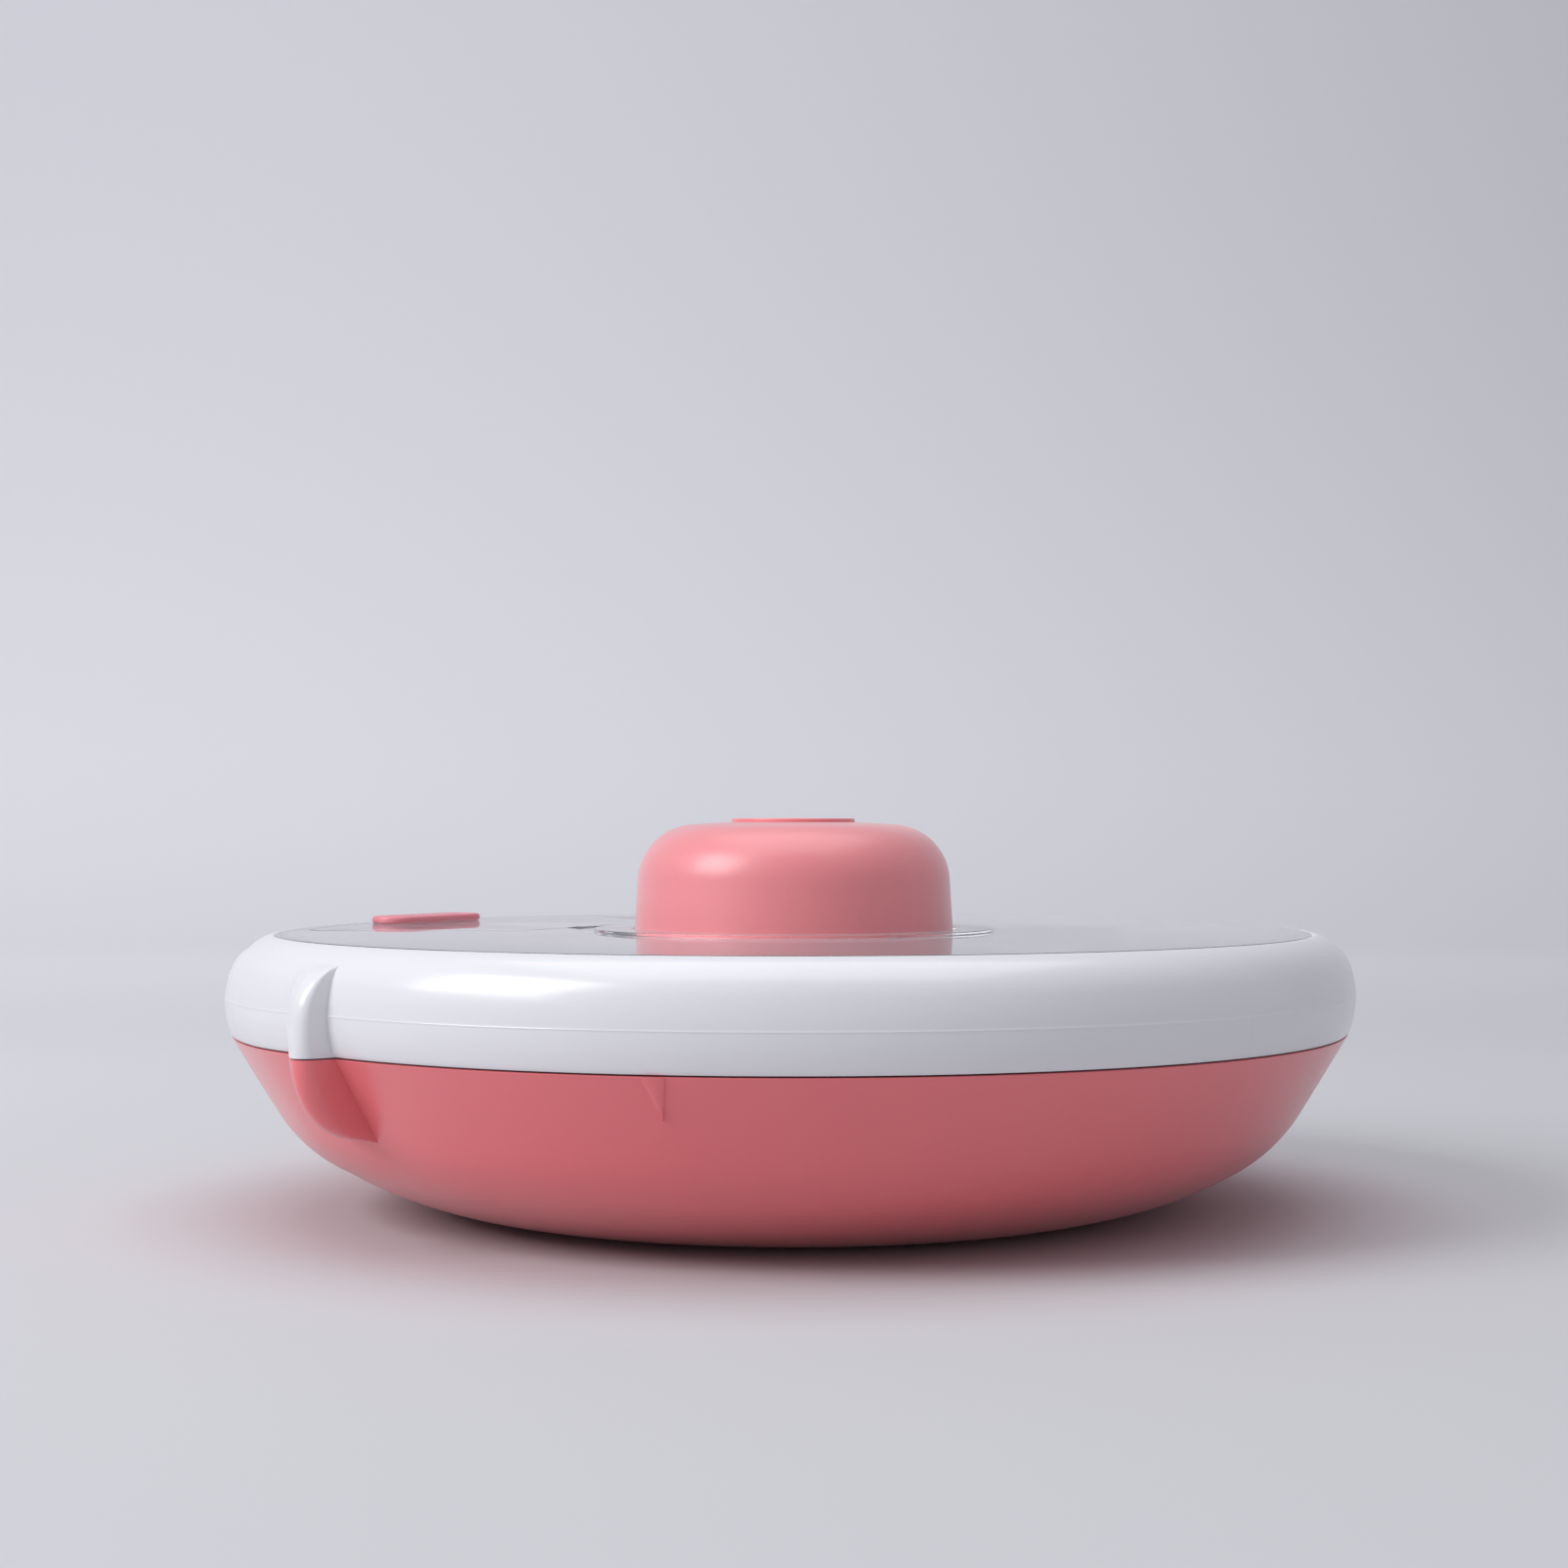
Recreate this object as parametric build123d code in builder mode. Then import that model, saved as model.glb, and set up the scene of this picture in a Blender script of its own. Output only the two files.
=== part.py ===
"""Push-button snack spinner: a round bowl and twist-off lid around a five-compartment tray.

Millimetres, +Z up. The origin is the centre of the flat face that the bowl stands on.
Angles are measured about +Z from +X. The compartment under the door is the first one.
"""

from build123d import *
import os
from math import atan2, cos, degrees, radians, sin, tan

os.makedirs("parts", exist_ok=True)

# ---------------------------------------------------------------- driving dimensions
# Bowl profile: flat base, bottom arc to the knee, corner arc to the shoulder, straight wall.
base_radius = 47.0
knee_radius = 77.0
knee_height = 8.2
shoulder_radius = 85.6
shoulder_height = 16.8
bowl_wall = 2.4
base_recess_radius = 37.0
base_recess_depth = 0.8
seam_height = 30.0
seam_gap = 0.3

# Neck of the bowl, inside the lid.
neck_inner_radius = 87.3
neck_outer_radius = 89.6
neck_top = 37.9

# Bayonet lugs: four on the neck, four inside the lid's skirt.
lug_count = 4
lug_arc = 16.0
lug_depth = 1.0
lug_height = 2.0
lug_root = 0.5
lug_clearance = 0.3
bowl_lug_bottom = 34.0
lid_lug_bottom = 31.2

# Centre post of the bowl, and the tray's bearing on it.
post_radius = 9.0
post_bore_radius = 6.6
post_top = 17.0
tray_bearing_clearance = 0.08
washer_inner_radius = 9.4
washer_outer_radius = 14.0
washer_thickness = 1.0
face_gap = 0.1

# Lid ring.
lid_foot_radius = 93.45
lid_max_radius = 94.6
lid_max_height = 36.6
lid_shoulder_radius = 94.0
lid_shoulder_height = 40.9
lid_top_radius = 88.3
lid_top = 46.45
lid_inner_radius = 91.8
window_seat_radius = 88.1
window_seat_height = 44.1
ledge_inner_radius = 85.8
ledge_thickness = 1.6
seat_chamfer = 0.2
seal_roof = 40.6
seal_pocket_inner = 86.4
seal_pocket_outer = 90.5
seal_pocket_height = 2.5

# Thumb fins on bowl and lid together: a rib with a steep wall, and a low pad that dies out behind it.
fin_wall_angle = -137.0
fin_ramp_arc = 58.0
fin_rises = [
    (0.0, 6.6),
    (0.05, 6.1),
    (0.1, 4.5),
    (0.14, 3.1),
    (0.2, 2.2),
    (0.5, 1.9),
    (0.7, 1.1),
    (0.85, 0.1),
    (1.0, -1.0),
]
fin_count = 2
fin_low = 17.0
fin_low_inset = 0.9
fin_mid = 32.0
fin_high = 44.0
fin_high_inset = 3.4
fin_root_depth = 1.2

# Raised index triangle on the bowl, just under the seam.
index_angle = -101.8
index_left = 2.5
index_right = 1.0
index_drop = 6.2
index_rise = 0.5
index_root = 1.0

# Clear window with a raised boss around the button.
window_radius = 87.9
window_edge_top = 46.3
window_centre_top = 46.6
boss_radius = 34.3
boss_top = 47.0
boss_chamfer = 0.6
boss_edge = 0.2
window_edge = 0.3
window_dip = 0.08
button_hole_radius = 28.1

# Door over the serving opening.
door_angle = 150.0
compartment_count = 5
opening_inner_radius = 44.5
opening_outer_radius = 79.5
opening_half_angle = 27.0
opening_corner_radius = 4.0
door_hinge_side = 40.0
door_outer_radius = 84.0
door_half_angle = 31.0
door_bottom = 45.4
door_thickness = 1.1
door_recess_floor = 45.3
door_recess_gap = 0.4
door_lip_gap = 0.6
door_lip_bottom = 44.3
hinge_radius = 38.0
hinge_height = 45.5
barrel_radius = 1.3
barrel_length = 20.0
barrel_web = 6.0
hinge_notch_gap = 0.3
door_lean_room = 0.8
pin_radius = 0.55
pin_clearance = 0.05
pin_seat = 2.4
tab_length = 27.0
tab_width = 9.0
tab_centre_radius = 79.5
tab_thickness = 1.4
tab_edge_radius = 0.5
tab_rim = 2.2
tab_dish_depth = 0.3

# Tray.
tray_wall = 1.6
tray_gap = 1.4
tray_outer_radius = 85.0
tray_top = 43.0
hub_wall_inner = 35.0
hub_wall_outer = 36.8
hub_wall_top = 42.3
well_floor_bottom = 17.4
well_floor_top = 19.0
hub_tube_radius = 12.0
crown_ring_overhang = 2.0
crown_ring_step = 1.5

# Button and its mechanism housing.
button_radius = 27.4
button_shoulder_radius = 26.9
button_shoulder_height = 55.5
button_crown_radius = 17.5
button_crown_height = 64.8
button_top = 65.25
button_wall = 2.2
button_travel = 9.0
flange_radius = 29.8
flange_width = 4.6
flange_bottom = 42.4
flange_top = 43.8
key_count = 3
key_reach = 31.3
key_width = 4.0
key_slot_gap = 0.4
housing_outer_radius = 34.4
housing_bore_radius = 30.3
housing_bottom = 29.0
housing_floor_top = 31.0
rotor_hole_radius = 15.4
screw_circle_radius = 32.3
screw_head_radius = 1.5
screw_head_height = 1.4
screw_shank_radius = 0.9
screw_clearance = 0.15
screw_sink = 0.2
screw_tip_height = 46.2
screw_start_angle = 60.0
cross_length = 1.8
cross_width = 0.5
cross_depth = 0.7

# Plunger, drive rotor and ratchet.
plunger_radius = 9.0
plunger_bore_radius = 6.9
plunger_bottom = 43.6
plunger_web_bottom = 55.0
plunger_web_top = 57.0
plunger_flange_radius = 13.0
plunger_flange_bottom = 60.4
plunger_flange_top = 62.8
plunger_screw_hole = 1.3
screw_boss_radius = 3.2
screw_boss_gap = 0.2
cap_screw_radius = 1.0
cap_screw_length = 6.4
cap_screw_hole_depth = 5.0
cap_screw_head_radius = 2.4
cap_screw_head_height = 1.6
cap_screw_cross_length = 2.8
cap_screw_cross_width = 0.7
cap_screw_cross_depth = 0.8
cam_lug_count = 3
cam_lug_radius = 1.4
cam_lug_reach = 11.9
cam_lug_height = 46.0
rotor_bore_radius = 9.3
rotor_sleeve_radius = 12.4
rotor_top = 51.0
rotor_floor_top = 33.4
rotor_flange_bottom = 31.6
rotor_flange_radius = 18.0
rotor_neck_radius = 15.0
rotor_neck_bore = 11.6
rotor_neck_bottom = 22.6
cam_slot_half_width = 1.8
cam_turn = 72.0
slot_run_out = 1.2
slot_overcut = 2.0
spring_coil_radius = 5.4
spring_wire_radius = 0.5
spring_turns = 7
spring_end_gap = 0.1
crown_bore_radius = 15.05
crown_radius = 24.0
crown_bottom = 24.4
crown_top = 27.2
crown_key_depth = 1.0
crown_key_width = 2.6
crown_key_gap = 0.2
crown_key_play = 1.0
tooth_inner_radius = 18.0
tooth_outer_radius = 23.6
tooth_height = 3.0
tooth_root = 0.5
tray_tooth_base = 21.0
pawl_tip_width = 1.6
pawl_length = 4.6
tray_tooth_length = 8.0
drive_gap = 0.4
clip_radius = 17.4
clip_groove_radius = 14.0
clip_bottom = 23.3
clip_top = 24.1
clip_gap_width = 9.0
groove_clearance = 0.05
wave_inner_radius = 15.6
wave_outer_radius = 23.0
wave_thickness = 0.4
wave_seat_width = 0.6
wave_top_gap = 0.2

# Silicone lid seal.
seal_inner_radius = 87.0
seal_outer_radius = 89.9
seal_bottom = 38.2
seal_top = 40.3
seal_chamfer = 0.5

# Raised symbol on the button: a ring with a gap that ends in an arrowhead.
symbol_ring_radius = 9.6
symbol_ring_width = 2.4
symbol_rise = 0.6
symbol_start = 60.0
symbol_arc = 285.0
arrow_width = 6.6
arrow_side = 6.0
symbol_root_height = 63.8

# ---------------------------------------------------------------- worked-out geometry
knee_slope = 2 * degrees(atan2(knee_height, knee_radius - base_radius))
chord_slope = degrees(atan2(shoulder_height - knee_height, shoulder_radius - knee_radius))
wall_slope = 2 * chord_slope - knee_slope
compartment_pitch = 360.0 / compartment_count


def radial_plane(angle):
    """Vertical plane through the Z axis: local x runs outward at the angle, local y runs up."""
    return Plane(
        origin=(0, 0, 0),
        x_dir=(cos(radians(angle)), sin(radians(angle)), 0),
        z_dir=(sin(radians(angle)), -cos(radians(angle)), 0),
    )


def level_plane(angle, height):
    """Level plane at the height, with local x running outward at the angle."""
    outward = (cos(radians(angle)), sin(radians(angle)), 0)
    return Plane(origin=(0, 0, height), x_dir=outward, z_dir=(0, 0, 1))


def facing_plane(angle, radius):
    """Upright plane facing outward at the angle: local x runs towards larger angles, local y up."""
    outward = Vector(cos(radians(angle)), sin(radians(angle)), 0)
    return Plane(origin=outward * radius, x_dir=(-outward.Y, outward.X, 0), z_dir=outward)


def inside(point, slope, depth):
    """Profile point moved square to the skin, into the bowl, where the skin has a slope."""
    return (point[0] - depth * sin(radians(slope)), point[1] + depth * cos(radians(slope)))


def bowl_base(depth):
    return (base_radius, depth)


def bowl_knee(depth):
    return inside((knee_radius, knee_height), knee_slope, depth)


def bowl_shoulder(depth):
    return inside((shoulder_radius, shoulder_height), wall_slope, depth)


def wall_height_at(radius, depth):
    """Height where the straight wall, taken at a depth inside the outer skin, reaches a radius."""
    start_radius, start_height = bowl_shoulder(depth)
    return start_height + (radius - start_radius) * tan(radians(wall_slope))


def wall_radius_at(height, depth):
    start_radius, start_height = bowl_shoulder(depth)
    return start_radius + (height - start_height) / tan(radians(wall_slope))


def bowl_curve(depth):
    """Bottom arc and corner arc of the bowl profile at a depth inside the outer skin."""
    TangentArc(bowl_base(depth), bowl_knee(depth), tangent=(1, 0))
    corner_start = (cos(radians(knee_slope)), sin(radians(knee_slope)))
    TangentArc(bowl_knee(depth), bowl_shoulder(depth), tangent=corner_start)


# ---------------------------------------------------------------- thumb fin blank
# One loft through radial sections, each given by its share of the fin's arc and its rise outside the
# lid's foot: full height at the steep wall, inside the body at the tail.
fin_root = wall_radius_at(seam_height, fin_root_depth)

with BuildPart() as fin_blank:
    for share, rise in fin_rises:
        with BuildSketch(radial_plane(fin_wall_angle - fin_ramp_arc * share)):
            with BuildLine():
                low_corner = (wall_radius_at(fin_low, 0) - fin_low_inset, fin_low)
                high_corner = (lid_shoulder_radius - fin_high_inset, fin_high)
                crest = (lid_foot_radius + rise, fin_mid)
                ThreePointArc(low_corner, crest, high_corner)
                Polyline(high_corner, (fin_root, fin_mid), low_corner)
            make_face()
    loft(ruled=True)

lid_fin = split(fin_blank.part, Plane.XY.offset(seam_height + seam_gap / 2), keep=Keep.TOP)
bowl_fin = split(fin_blank.part, Plane.XY.offset(seam_height - seam_gap / 2), keep=Keep.BOTTOM)
fin_angles = [360.0 / fin_count * number for number in range(fin_count)]

# ---------------------------------------------------------------- outer bowl
bowl_rim_height = seam_height - seam_gap / 2
bowl_rim_radius = wall_radius_at(bowl_rim_height, 0)
index_tip_height = bowl_rim_height - index_drop
index_outward = Vector(cos(radians(index_angle)), sin(radians(index_angle)), 0)
index_plane = Plane(
    origin=index_outward * wall_radius_at(index_tip_height, index_root) + Vector(0, 0, index_tip_height),
    x_dir=(-index_outward.Y, index_outward.X, 0),
    z_dir=index_outward * sin(radians(wall_slope)) - Vector(0, 0, cos(radians(wall_slope))),
)

with BuildPart() as index_mark:
    index_length = (index_drop + index_root) / sin(radians(wall_slope))
    with BuildSketch(index_plane):
        Polygon((-index_left, index_length), (index_right, index_length), (0, 0), align=None)
    extrude(amount=index_root + index_rise)
    split(bisect_by=Plane.XY.offset(bowl_rim_height), keep=Keep.BOTTOM)

with BuildPart() as outer_bowl:
    with BuildSketch(Plane.XZ):
        with BuildLine():
            Polyline(
                (0, base_recess_depth),
                (base_recess_radius, base_recess_depth),
                (base_recess_radius + base_recess_depth, 0),
                bowl_base(0),
            )
            bowl_curve(0)
            Polyline(
                bowl_shoulder(0),
                (bowl_rim_radius, bowl_rim_height),
                (neck_outer_radius, bowl_rim_height),
                (neck_outer_radius, neck_top),
                (neck_inner_radius, neck_top),
                (neck_inner_radius, wall_height_at(neck_inner_radius, bowl_wall)),
                bowl_shoulder(bowl_wall),
            )
            bowl_curve(bowl_wall)
            Polyline(
                bowl_base(bowl_wall),
                (post_radius, bowl_wall),
                (post_radius, post_top - 1),
                (post_radius - 1, post_top),
                (0, post_top),
                (0, base_recess_depth),
            )
        make_face()
    revolve(axis=Axis.Z)
    with BuildSketch(Plane.XY):
        Circle(post_bore_radius)
    extrude(amount=post_top - bowl_wall, mode=Mode.SUBTRACT)
    for number in range(lug_count):
        lug_start = number * 360.0 / lug_count
        with BuildSketch(radial_plane(lug_start)):
            with Locations((neck_outer_radius - lug_root, bowl_lug_bottom)):
                Rectangle(lug_depth + lug_root, lug_height, align=(Align.MIN, Align.MIN))
        revolve(axis=Axis.Z, revolution_arc=lug_arc)
    for angle in fin_angles:
        add(bowl_fin.rotate(Axis.Z, angle))
    add(index_mark.part)
outer_bowl.part.label = "outer_bowl"
export_step(outer_bowl.part, "parts/outer_bowl.step")

# ---------------------------------------------------------------- thrust washer
with BuildPart() as thrust_washer:
    with BuildSketch(Plane.XY.offset(bowl_wall)):
        Circle(washer_outer_radius)
        Circle(washer_inner_radius, mode=Mode.SUBTRACT)
    extrude(amount=washer_thickness)
thrust_washer.part.label = "thrust_washer"
export_step(thrust_washer.part, "parts/thrust_washer.step")

# ---------------------------------------------------------------- snack tray
tray_depth = bowl_wall + tray_gap
tray_inner_depth = tray_depth + tray_wall
tray_bore = post_radius + tray_bearing_clearance
hub_foot = bowl_wall + washer_thickness + face_gap
tray_inner_radius = tray_outer_radius - tray_wall
wall_root_depth = tray_inner_depth - tray_wall / 2
wall_root_radius = tray_outer_radius - tray_wall / 2

with BuildPart() as snack_tray:
    with BuildSketch(Plane.XZ):
        with BuildLine():
            Polyline(
                (tray_bore, hub_foot),
                (hub_tube_radius, hub_foot),
                (hub_tube_radius, well_floor_bottom),
                (hub_wall_inner, well_floor_bottom),
                (hub_wall_inner, tray_depth),
                bowl_base(tray_depth),
            )
            bowl_curve(tray_depth)
            Polyline(
                bowl_shoulder(tray_depth),
                (tray_outer_radius, wall_height_at(tray_outer_radius, tray_depth)),
                (tray_outer_radius, tray_top),
                (tray_inner_radius, tray_top),
                (tray_inner_radius, wall_height_at(tray_inner_radius, tray_inner_depth)),
                bowl_shoulder(tray_inner_depth),
            )
            bowl_curve(tray_inner_depth)
            Polyline(
                bowl_base(tray_inner_depth),
                (hub_wall_outer, tray_inner_depth),
                (hub_wall_outer, hub_wall_top),
                (hub_wall_inner, hub_wall_top),
                (hub_wall_inner, well_floor_top),
                (tray_bore, well_floor_top),
                (tray_bore, hub_foot),
            )
        make_face()
    revolve(axis=Axis.Z)
    for number in range(compartment_count):
        wall_angle = door_angle + compartment_pitch * (number + 0.5)
        with BuildSketch(radial_plane(wall_angle)):
            with BuildLine():
                Polyline(
                    bowl_base(wall_root_depth),
                    (hub_wall_inner + tray_wall / 2, wall_root_depth),
                    (hub_wall_inner + tray_wall / 2, hub_wall_top),
                    (hub_wall_outer + tray_wall, tray_top),
                    (wall_root_radius, tray_top),
                    (wall_root_radius, wall_height_at(wall_root_radius, wall_root_depth)),
                    bowl_shoulder(wall_root_depth),
                )
                bowl_curve(wall_root_depth)
            make_face()
        extrude(amount=tray_wall / 2, both=True)
snack_tray.part.label = "snack_tray"
export_step(snack_tray.part, "parts/snack_tray.step")

# ---------------------------------------------------------------- ratchet teeth
tooth_width = tooth_outer_radius - tooth_inner_radius
tray_tooth_end = drive_gap + tray_tooth_length
pawl_bottom = crown_bottom - tooth_height


def tooth_planes(start):
    """Upright planes at the inner end of each of the five ratchet teeth."""
    angles = [start + compartment_pitch * number for number in range(compartment_count)]
    return [facing_plane(angle, tooth_inner_radius) for angle in angles]


with BuildPart() as tray_crown:
    with BuildSketch(Plane.XY.offset(well_floor_top)):
        Circle(crown_radius + crown_ring_overhang)
        Circle(tooth_inner_radius - crown_ring_step, mode=Mode.SUBTRACT)
    extrude(amount=tray_tooth_base - well_floor_top)
    for plane in tooth_planes(door_angle):
        with BuildSketch(plane):
            Polygon(
                (-drive_gap, tray_tooth_base - tooth_root),
                (-drive_gap, tray_tooth_base + tooth_height),
                (-drive_gap - pawl_tip_width, tray_tooth_base + tooth_height),
                (-tray_tooth_end, tray_tooth_base),
                (-tray_tooth_end, tray_tooth_base - tooth_root),
                align=None,
            )
        extrude(amount=tooth_width)
tray_crown.part.label = "tray_crown"
export_step(tray_crown.part, "parts/tray_crown.step")

with BuildPart() as ratchet_crown:
    with BuildSketch(Plane.XY.offset(crown_bottom)):
        Circle(crown_radius)
        Circle(crown_bore_radius, mode=Mode.SUBTRACT)
        with PolarLocations(crown_bore_radius, cam_lug_count):
            Rectangle(2 * crown_key_depth, crown_key_width)
    extrude(amount=crown_top - crown_bottom)
    for plane in tooth_planes(door_angle):
        with BuildSketch(plane):
            Polygon(
                (0, crown_bottom + tooth_root),
                (0, pawl_bottom),
                (pawl_tip_width, pawl_bottom),
                (pawl_length, crown_bottom),
                (pawl_length, crown_bottom + tooth_root),
                align=None,
            )
        extrude(amount=tooth_width)
ratchet_crown.part.label = "ratchet_crown"
export_step(ratchet_crown.part, "parts/ratchet_crown.step")

# ---------------------------------------------------------------- drive rotor
# A left-handed cam slot, so that a downward push turns the rotor clockwise seen from above.
cam_low = cam_lug_height - button_travel
cam_pitch = button_travel * 360.0 / cam_turn
cam_mid_radius = (rotor_bore_radius + rotor_sleeve_radius) / 2
slot_depth = rotor_sleeve_radius - rotor_bore_radius + slot_overcut
crown_key_slot = (crown_key_depth + crown_key_gap, crown_key_width + 2 * crown_key_gap)
slot_start_angle = cam_turn + slot_run_out * 360.0 / cam_pitch

with BuildPart() as cam_slot:
    with BuildLine():
        slot_path = Helix(
            cam_pitch,
            button_travel + 2 * slot_run_out,
            cam_mid_radius,
            center=(0, 0, cam_low - slot_run_out),
            lefthand=True,
        )
    with BuildSketch(Plane(origin=slot_path @ 0, x_dir=(1, 0, 0), z_dir=slot_path % 0)):
        Rectangle(slot_depth, 2 * cam_slot_half_width)
    sweep(path=slot_path, is_frenet=True)

with BuildPart() as drive_rotor:
    with BuildSketch(Plane.XZ):
        Polygon(
            (0, rotor_flange_bottom),
            (rotor_neck_bore, rotor_flange_bottom),
            (rotor_neck_bore, rotor_neck_bottom),
            (rotor_neck_radius, rotor_neck_bottom),
            (rotor_neck_radius, rotor_flange_bottom),
            (rotor_flange_radius, rotor_flange_bottom),
            (rotor_flange_radius, rotor_floor_top),
            (rotor_sleeve_radius, rotor_floor_top),
            (rotor_sleeve_radius, rotor_top),
            (rotor_bore_radius, rotor_top),
            (rotor_bore_radius, rotor_floor_top),
            (0, rotor_floor_top),
            align=None,
        )
    revolve(axis=Axis.Z)
    with BuildSketch(Plane.XY.offset(rotor_neck_bottom)):
        with PolarLocations(rotor_neck_radius, cam_lug_count):
            Rectangle(2 * crown_key_slot[0], crown_key_slot[1])
    extrude(amount=crown_top + crown_key_play - rotor_neck_bottom, mode=Mode.SUBTRACT)
    with BuildSketch(Plane.XY.offset(clip_bottom)):
        Circle(clip_radius)
        Circle(clip_groove_radius, mode=Mode.SUBTRACT)
    extrude(amount=clip_top - clip_bottom, mode=Mode.SUBTRACT)
    with PolarLocations(0, cam_lug_count, start_angle=slot_start_angle):
        add(cam_slot.part, mode=Mode.SUBTRACT)
    with BuildSketch(Plane.XY.offset(cam_lug_height)):
        with PolarLocations(cam_mid_radius, cam_lug_count):
            Rectangle(slot_depth, 2 * cam_slot_half_width)
    extrude(amount=rotor_top - cam_lug_height + slot_run_out, mode=Mode.SUBTRACT)
drive_rotor.part.label = "drive_rotor"
export_step(drive_rotor.part, "parts/drive_rotor.step")

# ---------------------------------------------------------------- rotor washer, crown spring, clip
with BuildPart() as rotor_washer:
    with BuildSketch(Plane.XY.offset(housing_floor_top)):
        Circle(rotor_flange_radius)
        Circle(rotor_hole_radius + face_gap, mode=Mode.SUBTRACT)
    extrude(amount=rotor_flange_bottom - housing_floor_top - face_gap)
rotor_washer.part.label = "rotor_washer"
export_step(rotor_washer.part, "parts/rotor_washer.step")

wave_top = housing_bottom - wave_top_gap
with BuildPart() as crown_spring:
    with BuildSketch(Plane.XZ):
        Polygon(
            (wave_inner_radius, crown_top),
            (wave_inner_radius + wave_seat_width, crown_top),
            (wave_outer_radius, wave_top - wave_thickness),
            (wave_outer_radius, wave_top),
            (wave_outer_radius - wave_seat_width, wave_top),
            (wave_inner_radius, crown_top + wave_thickness),
            align=None,
        )
    revolve(axis=Axis.Z)
crown_spring.part.label = "crown_spring"
export_step(crown_spring.part, "parts/crown_spring.step")

with BuildPart() as crown_clip:
    with BuildSketch(Plane.XY.offset(clip_bottom + face_gap / 2)):
        Circle(clip_radius)
        Circle(clip_groove_radius + groove_clearance, mode=Mode.SUBTRACT)
        with Locations((clip_radius, 0)):
            Rectangle(clip_radius, clip_gap_width, mode=Mode.SUBTRACT)
    extrude(amount=clip_top - clip_bottom - face_gap)
crown_clip.part.label = "crown_clip"
export_step(crown_clip.part, "parts/crown_clip.step")

# ---------------------------------------------------------------- lid ring
with BuildPart() as lid_ring:
    with BuildSketch(Plane.XZ):
        with BuildLine():
            side = ThreePointArc(
                (lid_foot_radius, seam_height + seam_gap / 2),
                (lid_max_radius, lid_max_height),
                (lid_shoulder_radius, lid_shoulder_height),
            )
            TangentArc(side @ 1, (lid_top_radius, lid_top), tangent=side % 1)
            Polyline(
                (lid_top_radius, lid_top),
                (window_seat_radius, lid_top - seat_chamfer),
                (window_seat_radius, window_seat_height),
                (ledge_inner_radius, window_seat_height),
                (ledge_inner_radius, window_seat_height - ledge_thickness),
                (seal_pocket_inner, seal_roof),
                (seal_pocket_outer, seal_roof),
                (lid_inner_radius, seal_roof - seal_pocket_height),
                (lid_inner_radius, seam_height + seam_gap / 2),
                (lid_foot_radius, seam_height + seam_gap / 2),
            )
        make_face()
    revolve(axis=Axis.Z)
    lid_lug_inner = neck_outer_radius + lug_depth + lug_clearance
    lid_lug_depth = lid_inner_radius - lid_lug_inner + lug_root
    for number in range(lug_count):
        lug_start = number * 360.0 / lug_count
        with BuildSketch(radial_plane(lug_start)):
            with Locations((lid_lug_inner, lid_lug_bottom)):
                Rectangle(lid_lug_depth, lug_height, align=(Align.MIN, Align.MIN))
        revolve(axis=Axis.Z, revolution_arc=lug_arc)
    for angle in fin_angles:
        add(lid_fin.rotate(Axis.Z, angle))
lid_ring.part.label = "lid_ring"
export_step(lid_ring.part, "parts/lid_ring.step")

# ---------------------------------------------------------------- lid seal
with BuildPart() as lid_seal:
    with BuildSketch(Plane.XZ):
        with Locations(((seal_inner_radius + seal_outer_radius) / 2, (seal_bottom + seal_top) / 2)):
            Rectangle(seal_outer_radius - seal_inner_radius, seal_top - seal_bottom)
    revolve(axis=Axis.Z)
    chamfer(lid_seal.edges(), seal_chamfer)
lid_seal.part.label = "lid_seal"
export_step(lid_seal.part, "parts/lid_seal.step")


# ---------------------------------------------------------------- window and door
def wedge(inner, outer, half_angle, corner):
    """Ring sector about +X with rounded corners."""
    with BuildSketch() as sector:
        with BuildLine():
            inner_arc = CenterArc((0, 0), inner, -half_angle, 2 * half_angle)
            outer_arc = CenterArc((0, 0), outer, -half_angle, 2 * half_angle)
            Line(inner_arc @ 0, outer_arc @ 0)
            Line(inner_arc @ 1, outer_arc @ 1)
        make_face()
        fillet(sector.vertices(), corner)
    return sector.sketch


def leaf_outline(hinge_side, outer, half_angle, corner):
    """Ring sector about +X whose inner side is straight, parallel to the hinge."""
    side_end = hinge_side * tan(radians(half_angle))
    with BuildSketch() as leaf:
        with BuildLine():
            outer_arc = CenterArc((0, 0), outer, -half_angle, 2 * half_angle)
            Polyline(outer_arc @ 0, (hinge_side, -side_end), (hinge_side, side_end), outer_arc @ 1)
        make_face()
        fillet(leaf.vertices(), corner)
    return leaf.sketch


lip_inner = opening_inner_radius + door_lip_gap
lip_outer = opening_outer_radius - door_lip_gap
lip_half_angle = opening_half_angle - degrees(door_lip_gap / opening_inner_radius)
lip_corner = opening_corner_radius - door_lip_gap
core_half_angle = lip_half_angle - degrees(tray_wall / opening_inner_radius)
recess_half_angle = door_half_angle + degrees(door_recess_gap / door_hinge_side)
recess_hinge_side = door_hinge_side - door_recess_gap
recess_outer = door_outer_radius + door_recess_gap
opening_shape = wedge(opening_inner_radius, opening_outer_radius, opening_half_angle, opening_corner_radius)
door_shape = leaf_outline(door_hinge_side, door_outer_radius, door_half_angle, opening_corner_radius)
lip_shape = wedge(lip_inner, lip_outer, lip_half_angle, lip_corner)
lip_core = wedge(lip_inner + tray_wall, lip_outer - tray_wall, core_half_angle, lip_corner - tray_wall / 2)
recess_shape = leaf_outline(recess_hinge_side, recess_outer, recess_half_angle, opening_corner_radius)
notch_inner = hinge_radius - barrel_radius - door_lean_room
notch_half_width = barrel_length / 2 + hinge_notch_gap
pin_half_length = notch_half_width + pin_seat
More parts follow.
